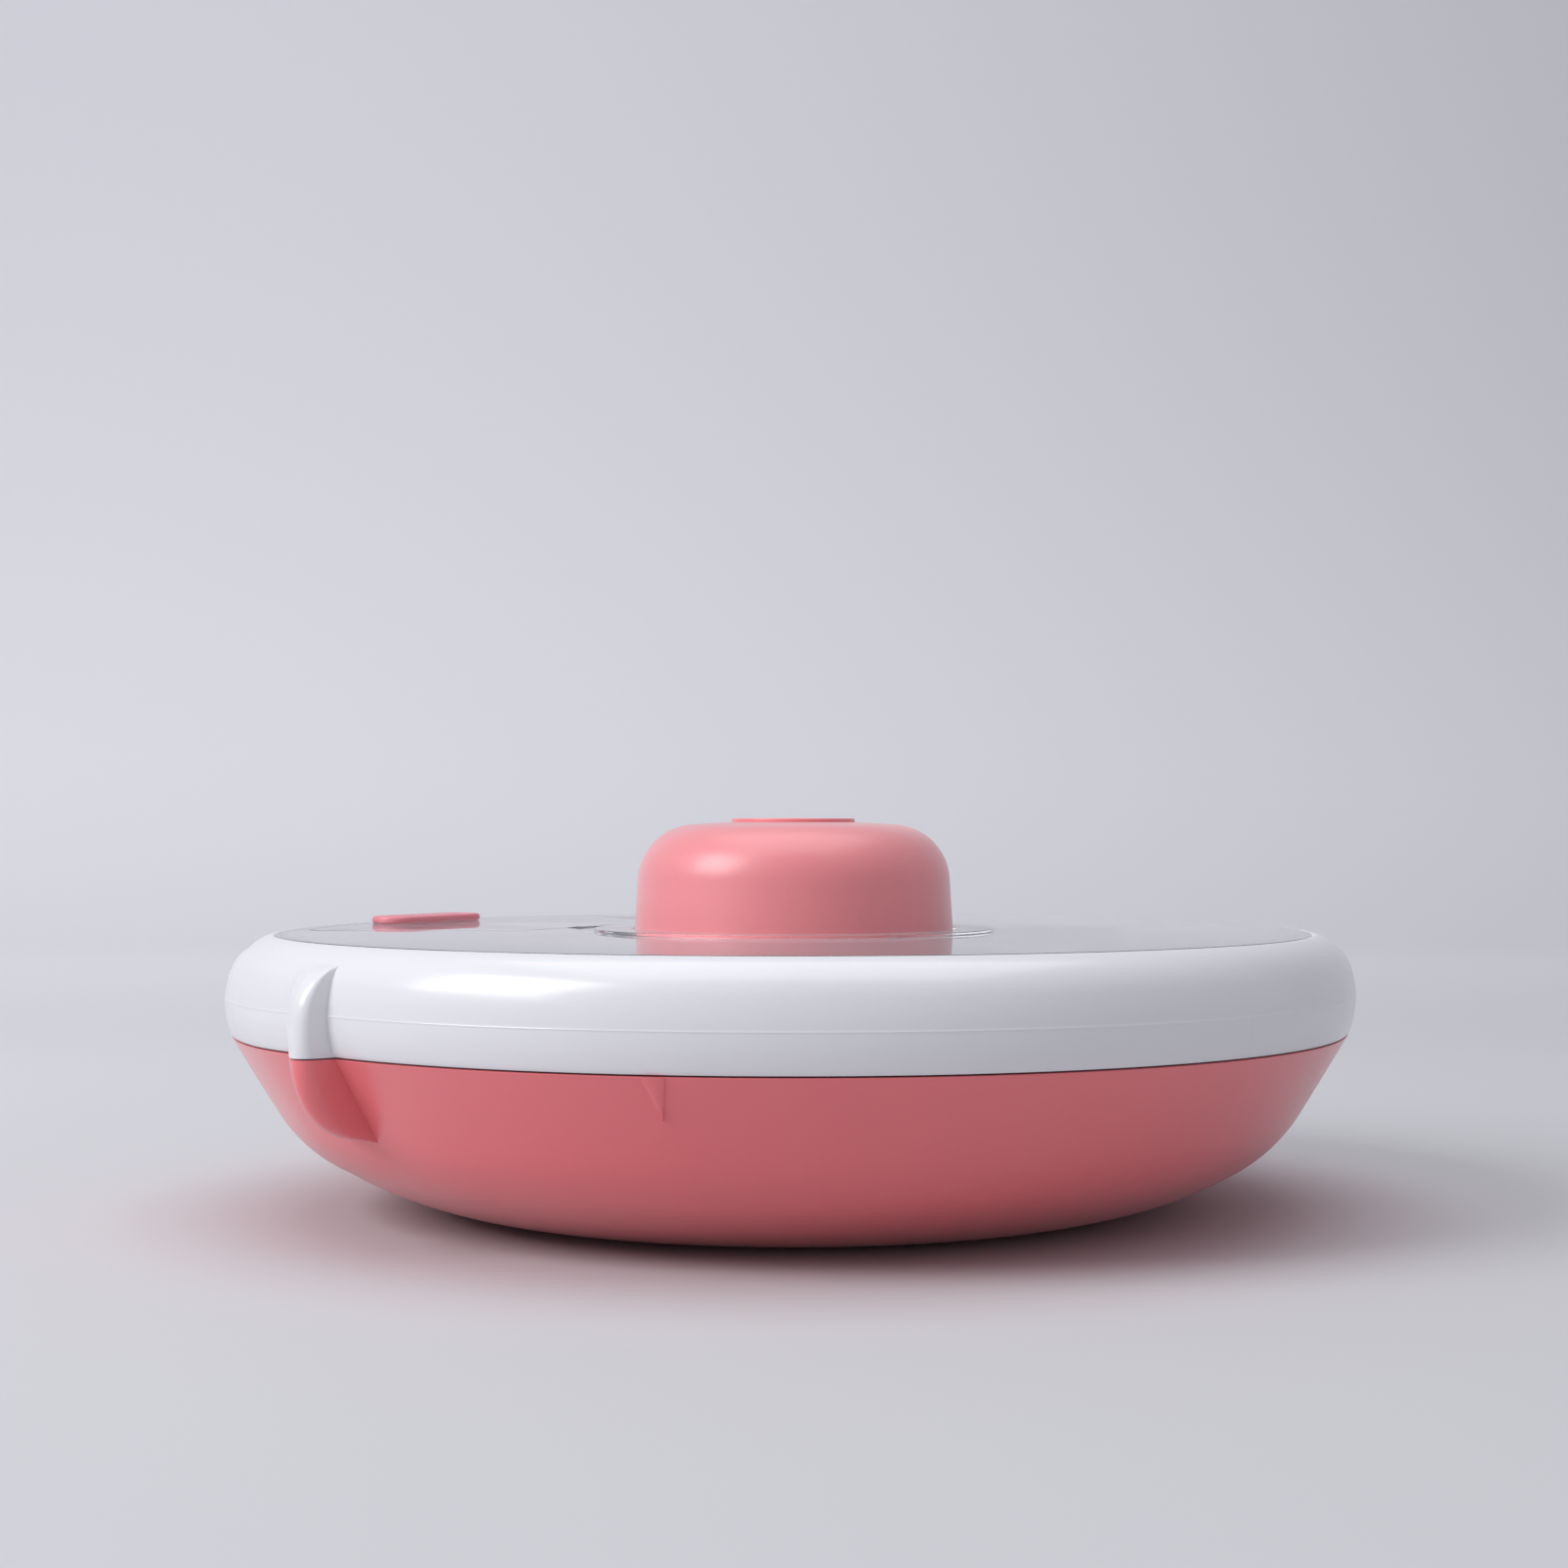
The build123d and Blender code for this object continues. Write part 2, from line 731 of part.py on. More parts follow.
screw_hole_top = screw_tip_height + 0.3
hinge_plane = Plane(
    origin=level_plane(door_angle, 0).from_local_coords((hinge_radius, 0, 0)),
    x_dir=level_plane(door_angle, 0).x_dir,
    z_dir=radial_plane(door_angle).z_dir,
)

with BuildPart() as lid_window:
    with BuildSketch(Plane.XZ):
        with BuildLine():
            plate_top = ThreePointArc(
                (boss_radius, window_centre_top),
                ((boss_radius + window_radius) / 2, window_centre_top - window_dip),
                (window_radius - window_edge, window_edge_top),
            )
            Polyline(
                plate_top @ 1,
                (window_radius, window_edge_top - window_edge),
                (window_radius, window_seat_height),
                (button_hole_radius, window_seat_height),
                (button_hole_radius, boss_top - boss_chamfer),
                (button_hole_radius + boss_chamfer, boss_top),
                (boss_radius - boss_edge, boss_top),
                (boss_radius, boss_top - boss_edge),
                plate_top @ 0,
            )
        make_face()
    revolve(axis=Axis.Z)
    with BuildSketch(level_plane(door_angle, window_seat_height)):
        add(opening_shape)
    extrude(amount=boss_top - window_seat_height, mode=Mode.SUBTRACT)
    with BuildSketch(level_plane(door_angle, door_recess_floor)):
        add(recess_shape)
    extrude(amount=boss_top - door_recess_floor, mode=Mode.SUBTRACT)
    with BuildSketch(level_plane(door_angle, window_seat_height)):
        with Locations((notch_inner, 0)):
            Rectangle(
                door_hinge_side - notch_inner,
                2 * notch_half_width,
                align=(Align.MIN, Align.CENTER),
            )
    extrude(amount=boss_top - window_seat_height, mode=Mode.SUBTRACT)
    with BuildSketch(hinge_plane):
        with Locations((0, hinge_height)):
            Circle(pin_radius)
    extrude(amount=pin_half_length, both=True, mode=Mode.SUBTRACT)
    with BuildSketch(Plane.XY.offset(window_seat_height)):
        with PolarLocations(screw_circle_radius, key_count, start_angle=screw_start_angle):
            Circle(screw_shank_radius)
    extrude(amount=screw_hole_top - window_seat_height, mode=Mode.SUBTRACT)
lid_window.part.label = "lid_window"
export_step(lid_window.part, "parts/lid_window.step")

with BuildPart() as door_panel:
    with BuildSketch(level_plane(door_angle, door_bottom)):
        add(door_shape)
    extrude(amount=door_thickness)
    with BuildSketch(level_plane(door_angle, door_lip_bottom)):
        add(lip_shape)
    extrude(amount=door_bottom - door_lip_bottom + door_thickness / 2)
    with BuildSketch(level_plane(door_angle, door_lip_bottom)):
        add(lip_core)
    extrude(amount=door_bottom - door_lip_bottom, mode=Mode.SUBTRACT)
    with BuildSketch(hinge_plane):
        with Locations((0, hinge_height)):
            Circle(barrel_radius)
        with Locations((0, door_bottom)):
            Rectangle(barrel_web, door_thickness, align=(Align.MIN, Align.MIN))
        with Locations((0, hinge_height)):
            Circle(pin_radius + pin_clearance, mode=Mode.SUBTRACT)
    extrude(amount=barrel_length / 2, both=True)
door_panel.part.label = "door_panel"
export_step(door_panel.part, "parts/door_panel.step")

with BuildPart() as hinge_pin:
    with BuildSketch(hinge_plane):
        with Locations((0, hinge_height)):
            Circle(pin_radius)
    extrude(amount=pin_half_length, both=True)
hinge_pin.part.label = "hinge_pin"
export_step(hinge_pin.part, "parts/hinge_pin.step")

door_top = door_bottom + door_thickness
with BuildPart() as door_tab:
    with BuildSketch(level_plane(door_angle, door_top)):
        with Locations((tab_centre_radius, 0)):
            SlotOverall(tab_length, tab_width, rotation=90)
    extrude(amount=tab_thickness)
    fillet(door_tab.edges().group_by(Axis.Z)[-1], tab_edge_radius)
    with BuildSketch(level_plane(door_angle, door_top + tab_thickness)):
        with Locations((tab_centre_radius, 0)):
            SlotOverall(tab_length - 2 * tab_rim, tab_width - 2 * tab_rim, rotation=90)
    extrude(amount=-tab_dish_depth, mode=Mode.SUBTRACT)
door_tab.part.label = "door_tab"
export_step(door_tab.part, "parts/door_tab.step")

# ---------------------------------------------------------------- mechanism housing and screws
screw_bottom = housing_bottom + screw_sink
counterbore_depth = screw_head_height + screw_sink

with BuildPart() as mechanism_housing:
    with BuildSketch(Plane.XY.offset(housing_bottom)):
        Circle(housing_outer_radius)
        Circle(rotor_hole_radius, mode=Mode.SUBTRACT)
    extrude(amount=window_seat_height - housing_bottom)
    with BuildSketch(Plane.XY.offset(housing_floor_top)):
        Circle(housing_bore_radius)
        with PolarLocations(housing_bore_radius, key_count):
            Rectangle(2 * (key_reach + key_slot_gap - housing_bore_radius), key_width + 2 * key_slot_gap)
    extrude(amount=window_seat_height - housing_floor_top, mode=Mode.SUBTRACT)
    with Locations(Plane.XY.offset(housing_bottom).rotated((180, 0, 0))):
        with PolarLocations(screw_circle_radius, key_count, start_angle=screw_start_angle):
            CounterBoreHole(
                screw_shank_radius + screw_clearance,
                screw_head_radius + screw_clearance,
                counterbore_depth,
            )
mechanism_housing.part.label = "mechanism_housing"
export_step(mechanism_housing.part, "parts/mechanism_housing.step")

with BuildPart() as housing_screws:
    with BuildSketch(Plane.XY.offset(screw_bottom)):
        with PolarLocations(screw_circle_radius, key_count, start_angle=screw_start_angle):
            Circle(screw_head_radius)
    extrude(amount=screw_head_height)
    with BuildSketch(Plane.XY.offset(screw_bottom)):
        with PolarLocations(screw_circle_radius, key_count, start_angle=screw_start_angle):
            Circle(screw_shank_radius)
    extrude(amount=screw_tip_height - screw_bottom)
    with BuildSketch(Plane.XY.offset(screw_bottom)):
        with PolarLocations(screw_circle_radius, key_count, start_angle=screw_start_angle):
            Rectangle(cross_length, cross_width)
            Rectangle(cross_width, cross_length)
    extrude(amount=cross_depth, mode=Mode.SUBTRACT)
housing_screws.part.label = "housing_screws"
export_step(housing_screws.part, "parts/housing_screws.step")

# ---------------------------------------------------------------- button cap
flange_inner_radius = flange_radius - flange_width
crown_lean = (button_shoulder_radius - button_radius, button_shoulder_height - boss_top)
ceiling_edge = (button_crown_radius - 1.0, plunger_flange_top - 0.6)
ceiling_bend = (button_shoulder_radius - 2 * button_wall, button_crown_height - 2.4 * button_wall)
inner_shoulder = (button_shoulder_radius - button_wall, button_shoulder_height)

with BuildPart() as button_cap:
    with BuildSketch(Plane.XZ):
        with BuildLine():
            Polyline(
                (flange_inner_radius, flange_bottom),
                (flange_radius, flange_bottom),
                (flange_radius, flange_top),
                (button_radius, flange_top),
                (button_radius, boss_top),
                (button_shoulder_radius, button_shoulder_height),
            )
            crown_arc = TangentArc(
                (button_shoulder_radius, button_shoulder_height),
                (button_crown_radius, button_crown_height),
                tangent=crown_lean,
            )
            TangentArc(crown_arc @ 1, (0, button_top), tangent=crown_arc % 1)
            Polyline(
                (0, button_top),
                (0, plunger_web_top),
                (screw_boss_radius, plunger_web_top),
                (screw_boss_radius, plunger_flange_top),
                (plunger_flange_radius + 2 * screw_boss_gap, plunger_flange_top),
                ceiling_edge,
            )
            ThreePointArc(ceiling_edge, ceiling_bend, inner_shoulder)
            Line(inner_shoulder, (flange_inner_radius, flange_bottom))
        make_face()
    revolve(axis=Axis.Z)
    with BuildSketch(Plane.XY.offset(flange_bottom)):
        with PolarLocations(flange_radius - 1, key_count):
            Rectangle(2 * (key_reach - flange_radius + 1), key_width)
    extrude(amount=flange_top - flange_bottom)
    with BuildSketch(Plane.XY.offset(plunger_web_top)):
        Circle(cap_screw_radius)
    extrude(amount=cap_screw_hole_depth, mode=Mode.SUBTRACT)
    with BuildSketch(Plane.XY.offset(symbol_root_height)):
        with BuildLine():
            half_ring = symbol_ring_width / 2
            outer_ring = CenterArc((0, 0), symbol_ring_radius + half_ring, symbol_start, symbol_arc)
            inner_ring = CenterArc((0, 0), symbol_ring_radius - half_ring, symbol_start, symbol_arc)
            Line(outer_ring @ 0, inner_ring @ 0)
            Line(outer_ring @ 1, inner_ring @ 1)
        make_face()
        with PolarLocations(symbol_ring_radius, 1, start_angle=symbol_start):
            Triangle(a=arrow_width, b=arrow_side, c=arrow_side, rotation=180)
    extrude(amount=button_top + symbol_rise - symbol_root_height)
button_cap.part.label = "button_cap"
export_step(button_cap.part, "parts/button_cap.step")

# ---------------------------------------------------------------- plunger, its screw and the spring
plunger_socket_radius = screw_boss_radius + screw_boss_gap

with BuildPart() as plunger:
    with BuildSketch(Plane.XZ):
        Polygon(
            (plunger_socket_radius, plunger_flange_top),
            (plunger_flange_radius, plunger_flange_top),
            (plunger_flange_radius, plunger_flange_bottom),
            (plunger_radius, plunger_flange_bottom),
            (plunger_radius, plunger_bottom),
            (plunger_bore_radius, plunger_bottom),
            (plunger_bore_radius, plunger_web_bottom),
            (plunger_screw_hole, plunger_web_bottom),
            (plunger_screw_hole, plunger_web_top),
            (plunger_socket_radius, plunger_web_top),
            align=None,
        )
    revolve(axis=Axis.Z)
    for number in range(cam_lug_count):
        with BuildSketch(facing_plane(360.0 / cam_lug_count * number, plunger_radius - 1)):
            with Locations((0, cam_lug_height)):
                Circle(cam_lug_radius)
        extrude(amount=cam_lug_reach - plunger_radius + 1)
plunger.part.label = "plunger"
export_step(plunger.part, "parts/plunger.step")

cap_screw_bottom = plunger_web_bottom - cap_screw_head_height
with BuildPart() as cap_screw:
    with BuildSketch(Plane.XY.offset(cap_screw_bottom)):
        Circle(cap_screw_head_radius)
    extrude(amount=cap_screw_head_height)
    with BuildSketch(Plane.XY.offset(plunger_web_bottom)):
        Circle(cap_screw_radius)
    extrude(amount=cap_screw_length)
    with BuildSketch(Plane.XY.offset(cap_screw_bottom)):
        Rectangle(cap_screw_cross_length, cap_screw_cross_width)
        Rectangle(cap_screw_cross_width, cap_screw_cross_length)
    extrude(amount=cap_screw_cross_depth, mode=Mode.SUBTRACT)
cap_screw.part.label = "cap_screw"
export_step(cap_screw.part, "parts/cap_screw.step")

spring_low = rotor_floor_top + spring_wire_radius + spring_end_gap
spring_high = plunger_web_bottom - spring_wire_radius - spring_end_gap
with BuildPart() as return_spring:
    with BuildLine():
        coil = Helix(
            (spring_high - spring_low) / spring_turns,
            spring_high - spring_low,
            spring_coil_radius,
            center=(0, 0, spring_low),
        )
    with BuildSketch(Plane(origin=coil @ 0, z_dir=coil % 0)):
        Circle(spring_wire_radius)
    sweep(path=coil, is_frenet=True)
return_spring.part.label = "return_spring"
export_step(return_spring.part, "parts/return_spring.step")
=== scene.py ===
"""Looks of a push-button snack spinner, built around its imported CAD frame.

The frame is in metres. The shapes below are worked out in millimetres, with +Z up and the
origin under the centre of the bowl, and turn into metres when a mesh is made.
"""

import math

import bmesh
import bpy
import numpy as np
from mathutils import Matrix, Vector


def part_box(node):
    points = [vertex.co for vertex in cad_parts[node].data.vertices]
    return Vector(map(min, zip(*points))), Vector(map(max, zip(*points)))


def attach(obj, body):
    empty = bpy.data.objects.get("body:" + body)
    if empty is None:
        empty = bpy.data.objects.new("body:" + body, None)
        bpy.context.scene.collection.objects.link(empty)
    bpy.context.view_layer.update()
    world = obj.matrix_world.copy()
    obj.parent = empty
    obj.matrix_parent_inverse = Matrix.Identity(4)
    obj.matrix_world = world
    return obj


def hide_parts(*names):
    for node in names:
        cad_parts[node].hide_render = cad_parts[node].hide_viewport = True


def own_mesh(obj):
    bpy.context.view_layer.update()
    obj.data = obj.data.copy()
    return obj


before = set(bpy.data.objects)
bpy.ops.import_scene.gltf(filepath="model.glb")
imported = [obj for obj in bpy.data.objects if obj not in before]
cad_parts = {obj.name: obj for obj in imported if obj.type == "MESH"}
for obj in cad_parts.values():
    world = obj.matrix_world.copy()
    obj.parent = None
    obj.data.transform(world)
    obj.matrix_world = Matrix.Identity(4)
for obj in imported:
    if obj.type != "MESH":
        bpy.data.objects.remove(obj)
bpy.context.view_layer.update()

MM = 0.001

# ---------------------------------------------------------------- sizes taken from the frame


def node_box(node):
    """Lowest and highest corner of a CAD node, in millimetres."""
    low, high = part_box(node)
    return low / MM, high / MM


LID_FOOT_HEIGHT = node_box("lid_ring")[0].z
LID_TOP = node_box("lid_ring")[1].z
NECK_TOP = node_box("outer_bowl")[1].z
WINDOW_LOW, WINDOW_HIGH = node_box("lid_window")
WINDOW_RADIUS = (WINDOW_HIGH.y - WINDOW_LOW.y) / 2
TRAY_LOW, TRAY_HIGH = node_box("snack_tray")
TRAY_RADIUS = (TRAY_HIGH.x - TRAY_LOW.x) / 2
TRAY_TOP = TRAY_HIGH.z
LIP_LOW = node_box("door_panel")[0].z
TAB_LOW, TAB_HIGH = node_box("door_tab")
SYMBOL_TOP = node_box("button_cap")[1].z
SPRING_LOW, SPRING_HIGH = node_box("return_spring")
HOUSING_LOW, HOUSING_HIGH = node_box("mechanism_housing")

# ---------------------------------------------------------------- driving dimensions, millimetres
# A point on a turned section is (radius, height). Other pairs are the two ends of a span.
EDGE_STEPS = 4
SHARPEST_KEPT = 25.0
LONGEST_CORNER = 0.45
CREASE_ANGLE = 32.0
MERGE_DISTANCE = 1e-4
SMALLEST_FACE = 1e-9
EVEN_COLUMNS = [1.5 * k for k in range(240)]

SEAM_GAP = 0.22
BOWL_RIM = LID_FOOT_HEIGHT - SEAM_GAP
BASE_RADIUS = 47.0
BASE_RECESS = 0.8
BASE_RECESS_RADIUS = 37.0
KNEE = (77.0, 8.2)
SHOULDER = (85.6, 16.8)
BOWL_WALL = 2.4
NECK_OUTER = 89.6
NECK_INNER = 87.3
POST_RADIUS = 9.0
POST_TOP = 17.0
POST_CORE_RADIUS = 6.6
LUG_COUNT = 4
LUG_ARC = 16.0
LUG_REACH = 1.0
LUG_GAP = 0.3
LUG_ROOT = 0.4
BOWL_LUG = (34.0, 36.0)
LID_LUG = (31.2, 33.2)

LID_FOOT_RADIUS = 93.45
LID_WIDEST = (94.6, 36.6)
LID_SHOULDER = (94.0, 40.9)
LID_TOP_RADIUS = 88.3
LID_EDGE = 0.25
LID_INNER = 91.8
WINDOW_SEAT = WINDOW_RADIUS + 0.04
LEDGE_INNER = 85.8
LEDGE_THICKNESS = 1.6
SEAL_ROOF = 40.6
SEAL_POCKET = (86.4, 90.5)
SEAL_SKIRT = 2.5
PARTING_HEIGHT = 36.3
PARTING_RISE = 0.07
PARTING_SPREAD = 0.13
WITNESS_ANGLE = -44.0
WITNESS_RISE = 0.09
WITNESS_HALF_WIDTH = 0.05

# A fin starts with a steep wall. Behind it, its rounded edge, its flank and the rise of its pad
# are lengths along the rim, and the pad fades between two angles.
FIN_COUNT = 2
FIN_WALL_ANGLE = -137.0
FIN_CREST = {"radius": 99.0, "middle": 33.0, "top": (91.0, 44.0), "bottom": (86.3, 17.0)}
FIN_PAD = {"rise": 1.6, "middle": 27.0, "top": 44.0, "bottom": 9.0}
FIN_ROUNDNESS = 2.7
FIN_WALL_RUN = 0.25
FIN_WALL_SHARE = 0.6
FIN_EDGE = 2.3
FIN_FLANK = 9.0
FIN_PAD_RUN = 26.0
FIN_FADE_START = 36.0
FIN_ARC = 62.0

# INDEX_RIGHT (top, tip) and INDEX_TIP are shares of the triangle's width.
INDEX_ANGLE = -102.0
INDEX_WIDTH = 3.45
INDEX_RIGHT = (0.46, 0.15)
INDEX_TIP = 0.05
INDEX_DROP = 6.4
INDEX_RISE = 0.55
INDEX_ROOT = 0.6

PLATE_TOP = 46.5
PLATE_EDGE = 0.12
BOSS_RADIUS = 34.3
BOSS_TOP = 47.0
BOSS_EDGE = 0.12
BUTTON_HOLE = 28.1

DOOR_ANGLE = 150.0
OPENING = {"inner": 44.5, "outer": 79.5, "half_angle": 27.0, "corner": 4.0}
DOOR = {"hinge_side": 40.0, "outer": 84.0, "half_angle": 31.0, "corner": 4.0}
RECESS = {"hinge_side": 39.8, "outer": 84.2, "half_angle": 31.29, "corner": 4.0}
RECESS_FLOOR = 45.3
DOOR_UNDERSIDE = 45.4
DOOR_TOP = 46.5
LIP_CLEARANCE = 0.6
LIP_WALL = 1.6
HINGE_RADIUS = 38.0
HINGE_HEIGHT = 45.5
BARREL_RADIUS = 1.3
BARREL_LENGTH = 20.0
NOTCH_INNER = 35.9
NOTCH_GAP = 0.3
PIN_RADIUS = 0.55
PIN_SEAT = 2.4
TAB_RADIUS = 79.5
TAB_LENGTH = 27.0
TAB_WIDTH = 9.0
TAB_EDGE = 0.6
# (inset, drop) from the tab's rim into its dish
TAB_DISH = [(1.4, 0.0), (2.0, 0.12), (2.6, 0.36), (3.1, 0.44), (3.7, 0.46)]

TRAY_GAP = 1.4
WASHER_SPACE = 1.1
TRAY_WALL = 1.6
COMPARTMENTS = 5
HUB_INNER = 35.0
HUB_OUTER = 36.8
WELL_FLOOR = (17.4, 19.0)
TRAY_BORE = 9.08
TUBE_RADIUS = 12.0
FLOOR_FILLET = 6.0
CAVITY_LIP = 0.5
CAVITY_CORNER = {"top": 3.0, "growth": 0.16, "largest": 9.0, "share": 0.42}

BUTTON_RADIUS = 27.4
BUTTON_SHOULDER = (26.9, 55.5)
BUTTON_CROWN = (17.5, 64.8)
BUTTON_DOME = 65.25
BUTTON_WALL = 2.2
FLANGE_RADIUS = 29.8
FLANGE = (42.4, 43.8)
SKIRT_INNER = 25.2
KEY_COUNT = 3
KEY_REACH = 31.3
KEY_WIDTH = 4.0
KEY_GAP = 0.4
SCREW_BOSS = {"radius": 3.2, "foot": 57.0, "hole_radius": 1.0, "hole_end": 62.0}
CEILING = [(SCREW_BOSS["radius"], 62.8), (13.4, 62.8), (16.5, 62.2)]
CEILING_HEADING = (1, -0.12)
SYMBOL_RADIUS = 9.6
SYMBOL_WIDTH = 2.4
SYMBOL_START = 60.0
SYMBOL_ARC = 285.0
SYMBOL_EDGE = 0.28
ARROW_HALF_WIDTH = 3.0
ARROW_LENGTH = 5.2

HOUSING_RADIUS = 34.4
HOUSING_BORE = 30.3
HOUSING_FLOOR = 31.0
ROTOR_HOLE = 15.4
COIL_RADIUS = 5.4
WIRE_RADIUS = 0.5
COIL_TURNS = 7
END_TURN = 0.75

# ---------------------------------------------------------------- plane geometry


def polar(radius, angle):
    """Point at a radius and an angle in degrees."""
    return (radius * math.cos(math.radians(angle)), radius * math.sin(math.radians(angle)))


def arc_to(start, heading, end, steps):
    """Points after start on the arc that leaves start along heading and reaches end."""
    length = math.hypot(*heading)
    along_axis = (heading[0] / length, heading[1] / length)
    left_axis = (-along_axis[1], along_axis[0])
    chord = (end[0] - start[0], end[1] - start[1])
    along = chord[0] * along_axis[0] + chord[1] * along_axis[1]
    left = chord[0] * left_axis[0] + chord[1] * left_axis[1]
    radius = (along**2 + left**2) / (2 * left)
    centre = (start[0] + radius * left_axis[0], start[1] + radius * left_axis[1])
    turn = 2 * math.atan2(left, along)
    spoke = (start[0] - centre[0], start[1] - centre[1])
    points = []
    for step in range(1, steps + 1):
        cosine, sine = math.cos(turn * step / steps), math.sin(turn * step / steps)
        x = centre[0] + spoke[0] * cosine - spoke[1] * sine
        y = centre[1] + spoke[0] * sine + spoke[1] * cosine
        points.append((x, y))
    return points


def heading_at_end(points):
    """Direction of a line's last stretch."""
    return (points[-1][0] - points[-2][0], points[-1][1] - points[-2][1])


def soften(points, radius):
    """The open line with each corner sharper than the kept ones rounded by up to the radius."""
    softened = [points[0]]
    for before, corner, after in zip(points, points[1:], points[2:]):
        a = Vector(before) - Vector(corner)
        b = Vector(after) - Vector(corner)
        turn = math.pi - a.angle(b, math.pi)
        if math.degrees(turn) < SHARPEST_KEPT:
            softened.append(corner)
            continue
        reach = min(radius * math.tan(turn / 2), LONGEST_CORNER * a.length, LONGEST_CORNER * b.length)
        start = Vector(corner) + a.normalized() * reach
        end = Vector(corner) + b.normalized() * reach
        softened.append(tuple(start))
        softened += arc_to(start, -a, end, EDGE_STEPS)
    return softened + [points[-1]]


def inset(loop, distance):
    """A closed counter-clockwise loop moved inward by a distance."""
    points = np.array(loop, float)
    before = points - np.roll(points, 1, 0)
    after = np.roll(points, -1, 0) - points
    normals = []
    for edge in (before, after):
        edge /= np.linalg.norm(edge, axis=1)[:, None]
        normals.append(np.stack((-edge[:, 1], edge[:, 0]), 1))
    miter = (normals[0] + normals[1]) / (1 + (normals[0] * normals[1]).sum(1))[:, None]
    return [tuple(p) for p in points + miter * distance]


def arc_points(centre, radius, start, end, steps):
    """Points from one angle to another round a centre."""
    angles = np.linspace(start, end, steps + 1)
    return [(centre[0] + polar(radius, a)[0], centre[1] + polar(radius, a)[1]) for a in angles]


def mirrored(points):
    """The points on the other side of the x axis, in the opposite order."""
    return [(x, -y) for x, y in reversed(points)]


def rectangle(near, far, half_width):
    """Outline from near to far along x."""
    return [(near, -half_width), (far, -half_width), (far, half_width), (near, half_width)]


def slot_outline(length, width):
    """Outline with round ends, its length along y."""
    reach = (length - width) / 2
    top = arc_points((0, reach), width / 2, 0, 180, 16)
    return top + arc_points((0, -reach), width / 2, 180, 360, 16)


def corner_angle(radius, half_angle, reach):
    """Angle of the point at a radius that stands reach inside the ray at the half angle."""
    return half_angle - math.degrees(math.asin(reach / radius))


def sector(inner, outer, half_angle, corner, side_gap=0.0, arc_steps=24, corner_steps=7):
    """Ring sector about +X with round corners; its straight sides stand side_gap inside the half angle."""
    far, near = outer - corner, inner + corner
    far_angle = corner_angle(far, half_angle, side_gap + corner)
    near_angle = corner_angle(near, half_angle, side_gap + corner)
    upper = arc_points(polar(far, far_angle), corner, far_angle, half_angle + 90, corner_steps)
    upper += arc_points(polar(near, near_angle), corner, half_angle + 90, near_angle + 180, corner_steps)
    outer_arc = arc_points((0, 0), outer, -far_angle, far_angle, arc_steps)[1:-1]
    inner_arc = arc_points((0, 0), inner, near_angle, -near_angle, arc_steps)[1:-1]
    return outer_arc + upper + inner_arc + mirrored(upper)


def leaf_outline(hinge_side, outer, half_angle, corner):
    """Ring sector about +X whose inner side is straight, parallel to the hinge."""
    far, near = outer - corner, hinge_side + corner
    far_angle = corner_angle(far, half_angle, corner)
    side = math.radians(half_angle)
    near_centre = (near, (near * math.sin(side) - corner) / math.cos(side))
    upper = arc_points(polar(far, far_angle), corner, far_angle, half_angle + 90, 7)
    upper += arc_points(near_centre, corner, half_angle + 90, 180, 7)
    outer_arc = arc_points((0, 0), outer, -far_angle, far_angle, 24)[1:-1]
    return outer_arc + upper + mirrored(upper)


def edge_profile(low, high, radius):
    """(inset, height) up the side of a plate with rounded edges."""
    rounded = [math.pi / 2 * k / EDGE_STEPS for k in range(EDGE_STEPS + 1)]
    up = [(radius * (1 - math.sin(a)), low + radius * (1 - math.cos(a))) for a in rounded]
    down = [(radius * (1 - math.cos(a)), high - radius * (1 - math.sin(a))) for a in rounded]
    return up + down


# ---------------------------------------------------------------- mesh building
FLAT = Matrix.Identity(4)


def around(angle, out=0.0):
    """Frame on a radius: x outward, y sideways, z up."""
    return Matrix.Rotation(math.radians(angle), 4, "Z") @ Matrix.Translation((out, 0, 0))


def add_loop(mesh, loop, height, place=FLAT):
    """The loop's corners at a height, in the frame of a place."""
    return [mesh.verts.new(place @ Vector((x, y, height))) for x, y in loop]


def bridge(mesh, rings, closed=True):
    """Quads between rings that have the same number of corners."""
    for lower, upper in zip(rings, rings[1:]):
        count = len(lower)
        for k in range(count if closed else count - 1):
            after = (k + 1) % count
            mesh.faces.new((lower[k], lower[after], upper[after], upper[k]))


def fill(mesh, *rings):
    """A flat face inside the first ring, less the other rings."""
    edges = []
    for ring in rings:
        for a, b in zip(ring, ring[1:] + ring[:1]):
            edges.append(mesh.edges.get((a, b)) or mesh.edges.new((a, b)))
    bmesh.ops.triangle_fill(mesh, edges=edges, use_beauty=True, use_dissolve=False)


def add_stack(mesh, loop, levels, place=FLAT):
    """Bridged rings of a loop, one for each (inset, height)."""
    rings = [add_loop(mesh, inset(loop, distance), height, place) for distance, height in levels]
    bridge(mesh, rings)
    return rings


def add_prism(mesh, outline, low, high, edge=0.2, holes=(), place=FLAT):
    """A plate between two heights with rounded edges and through holes."""
    levels = edge_profile(low, high, edge)
    outward = [(-distance, height) for distance, height in levels]
    sides = [add_stack(mesh, outline, levels, place)]
    sides += [add_stack(mesh, hole, outward, place) for hole in holes]
    fill(mesh, *[rings[0] for rings in sides])
    fill(mesh, *[rings[-1] for rings in sides])


def add_prisms_round(mesh, count, outline, low, high, first=0.0):
    """The same plate, evenly spaced round the axis."""
    for number in range(count):
        add_prism(mesh, outline, low, high, place=around(first + number * 360 / count))


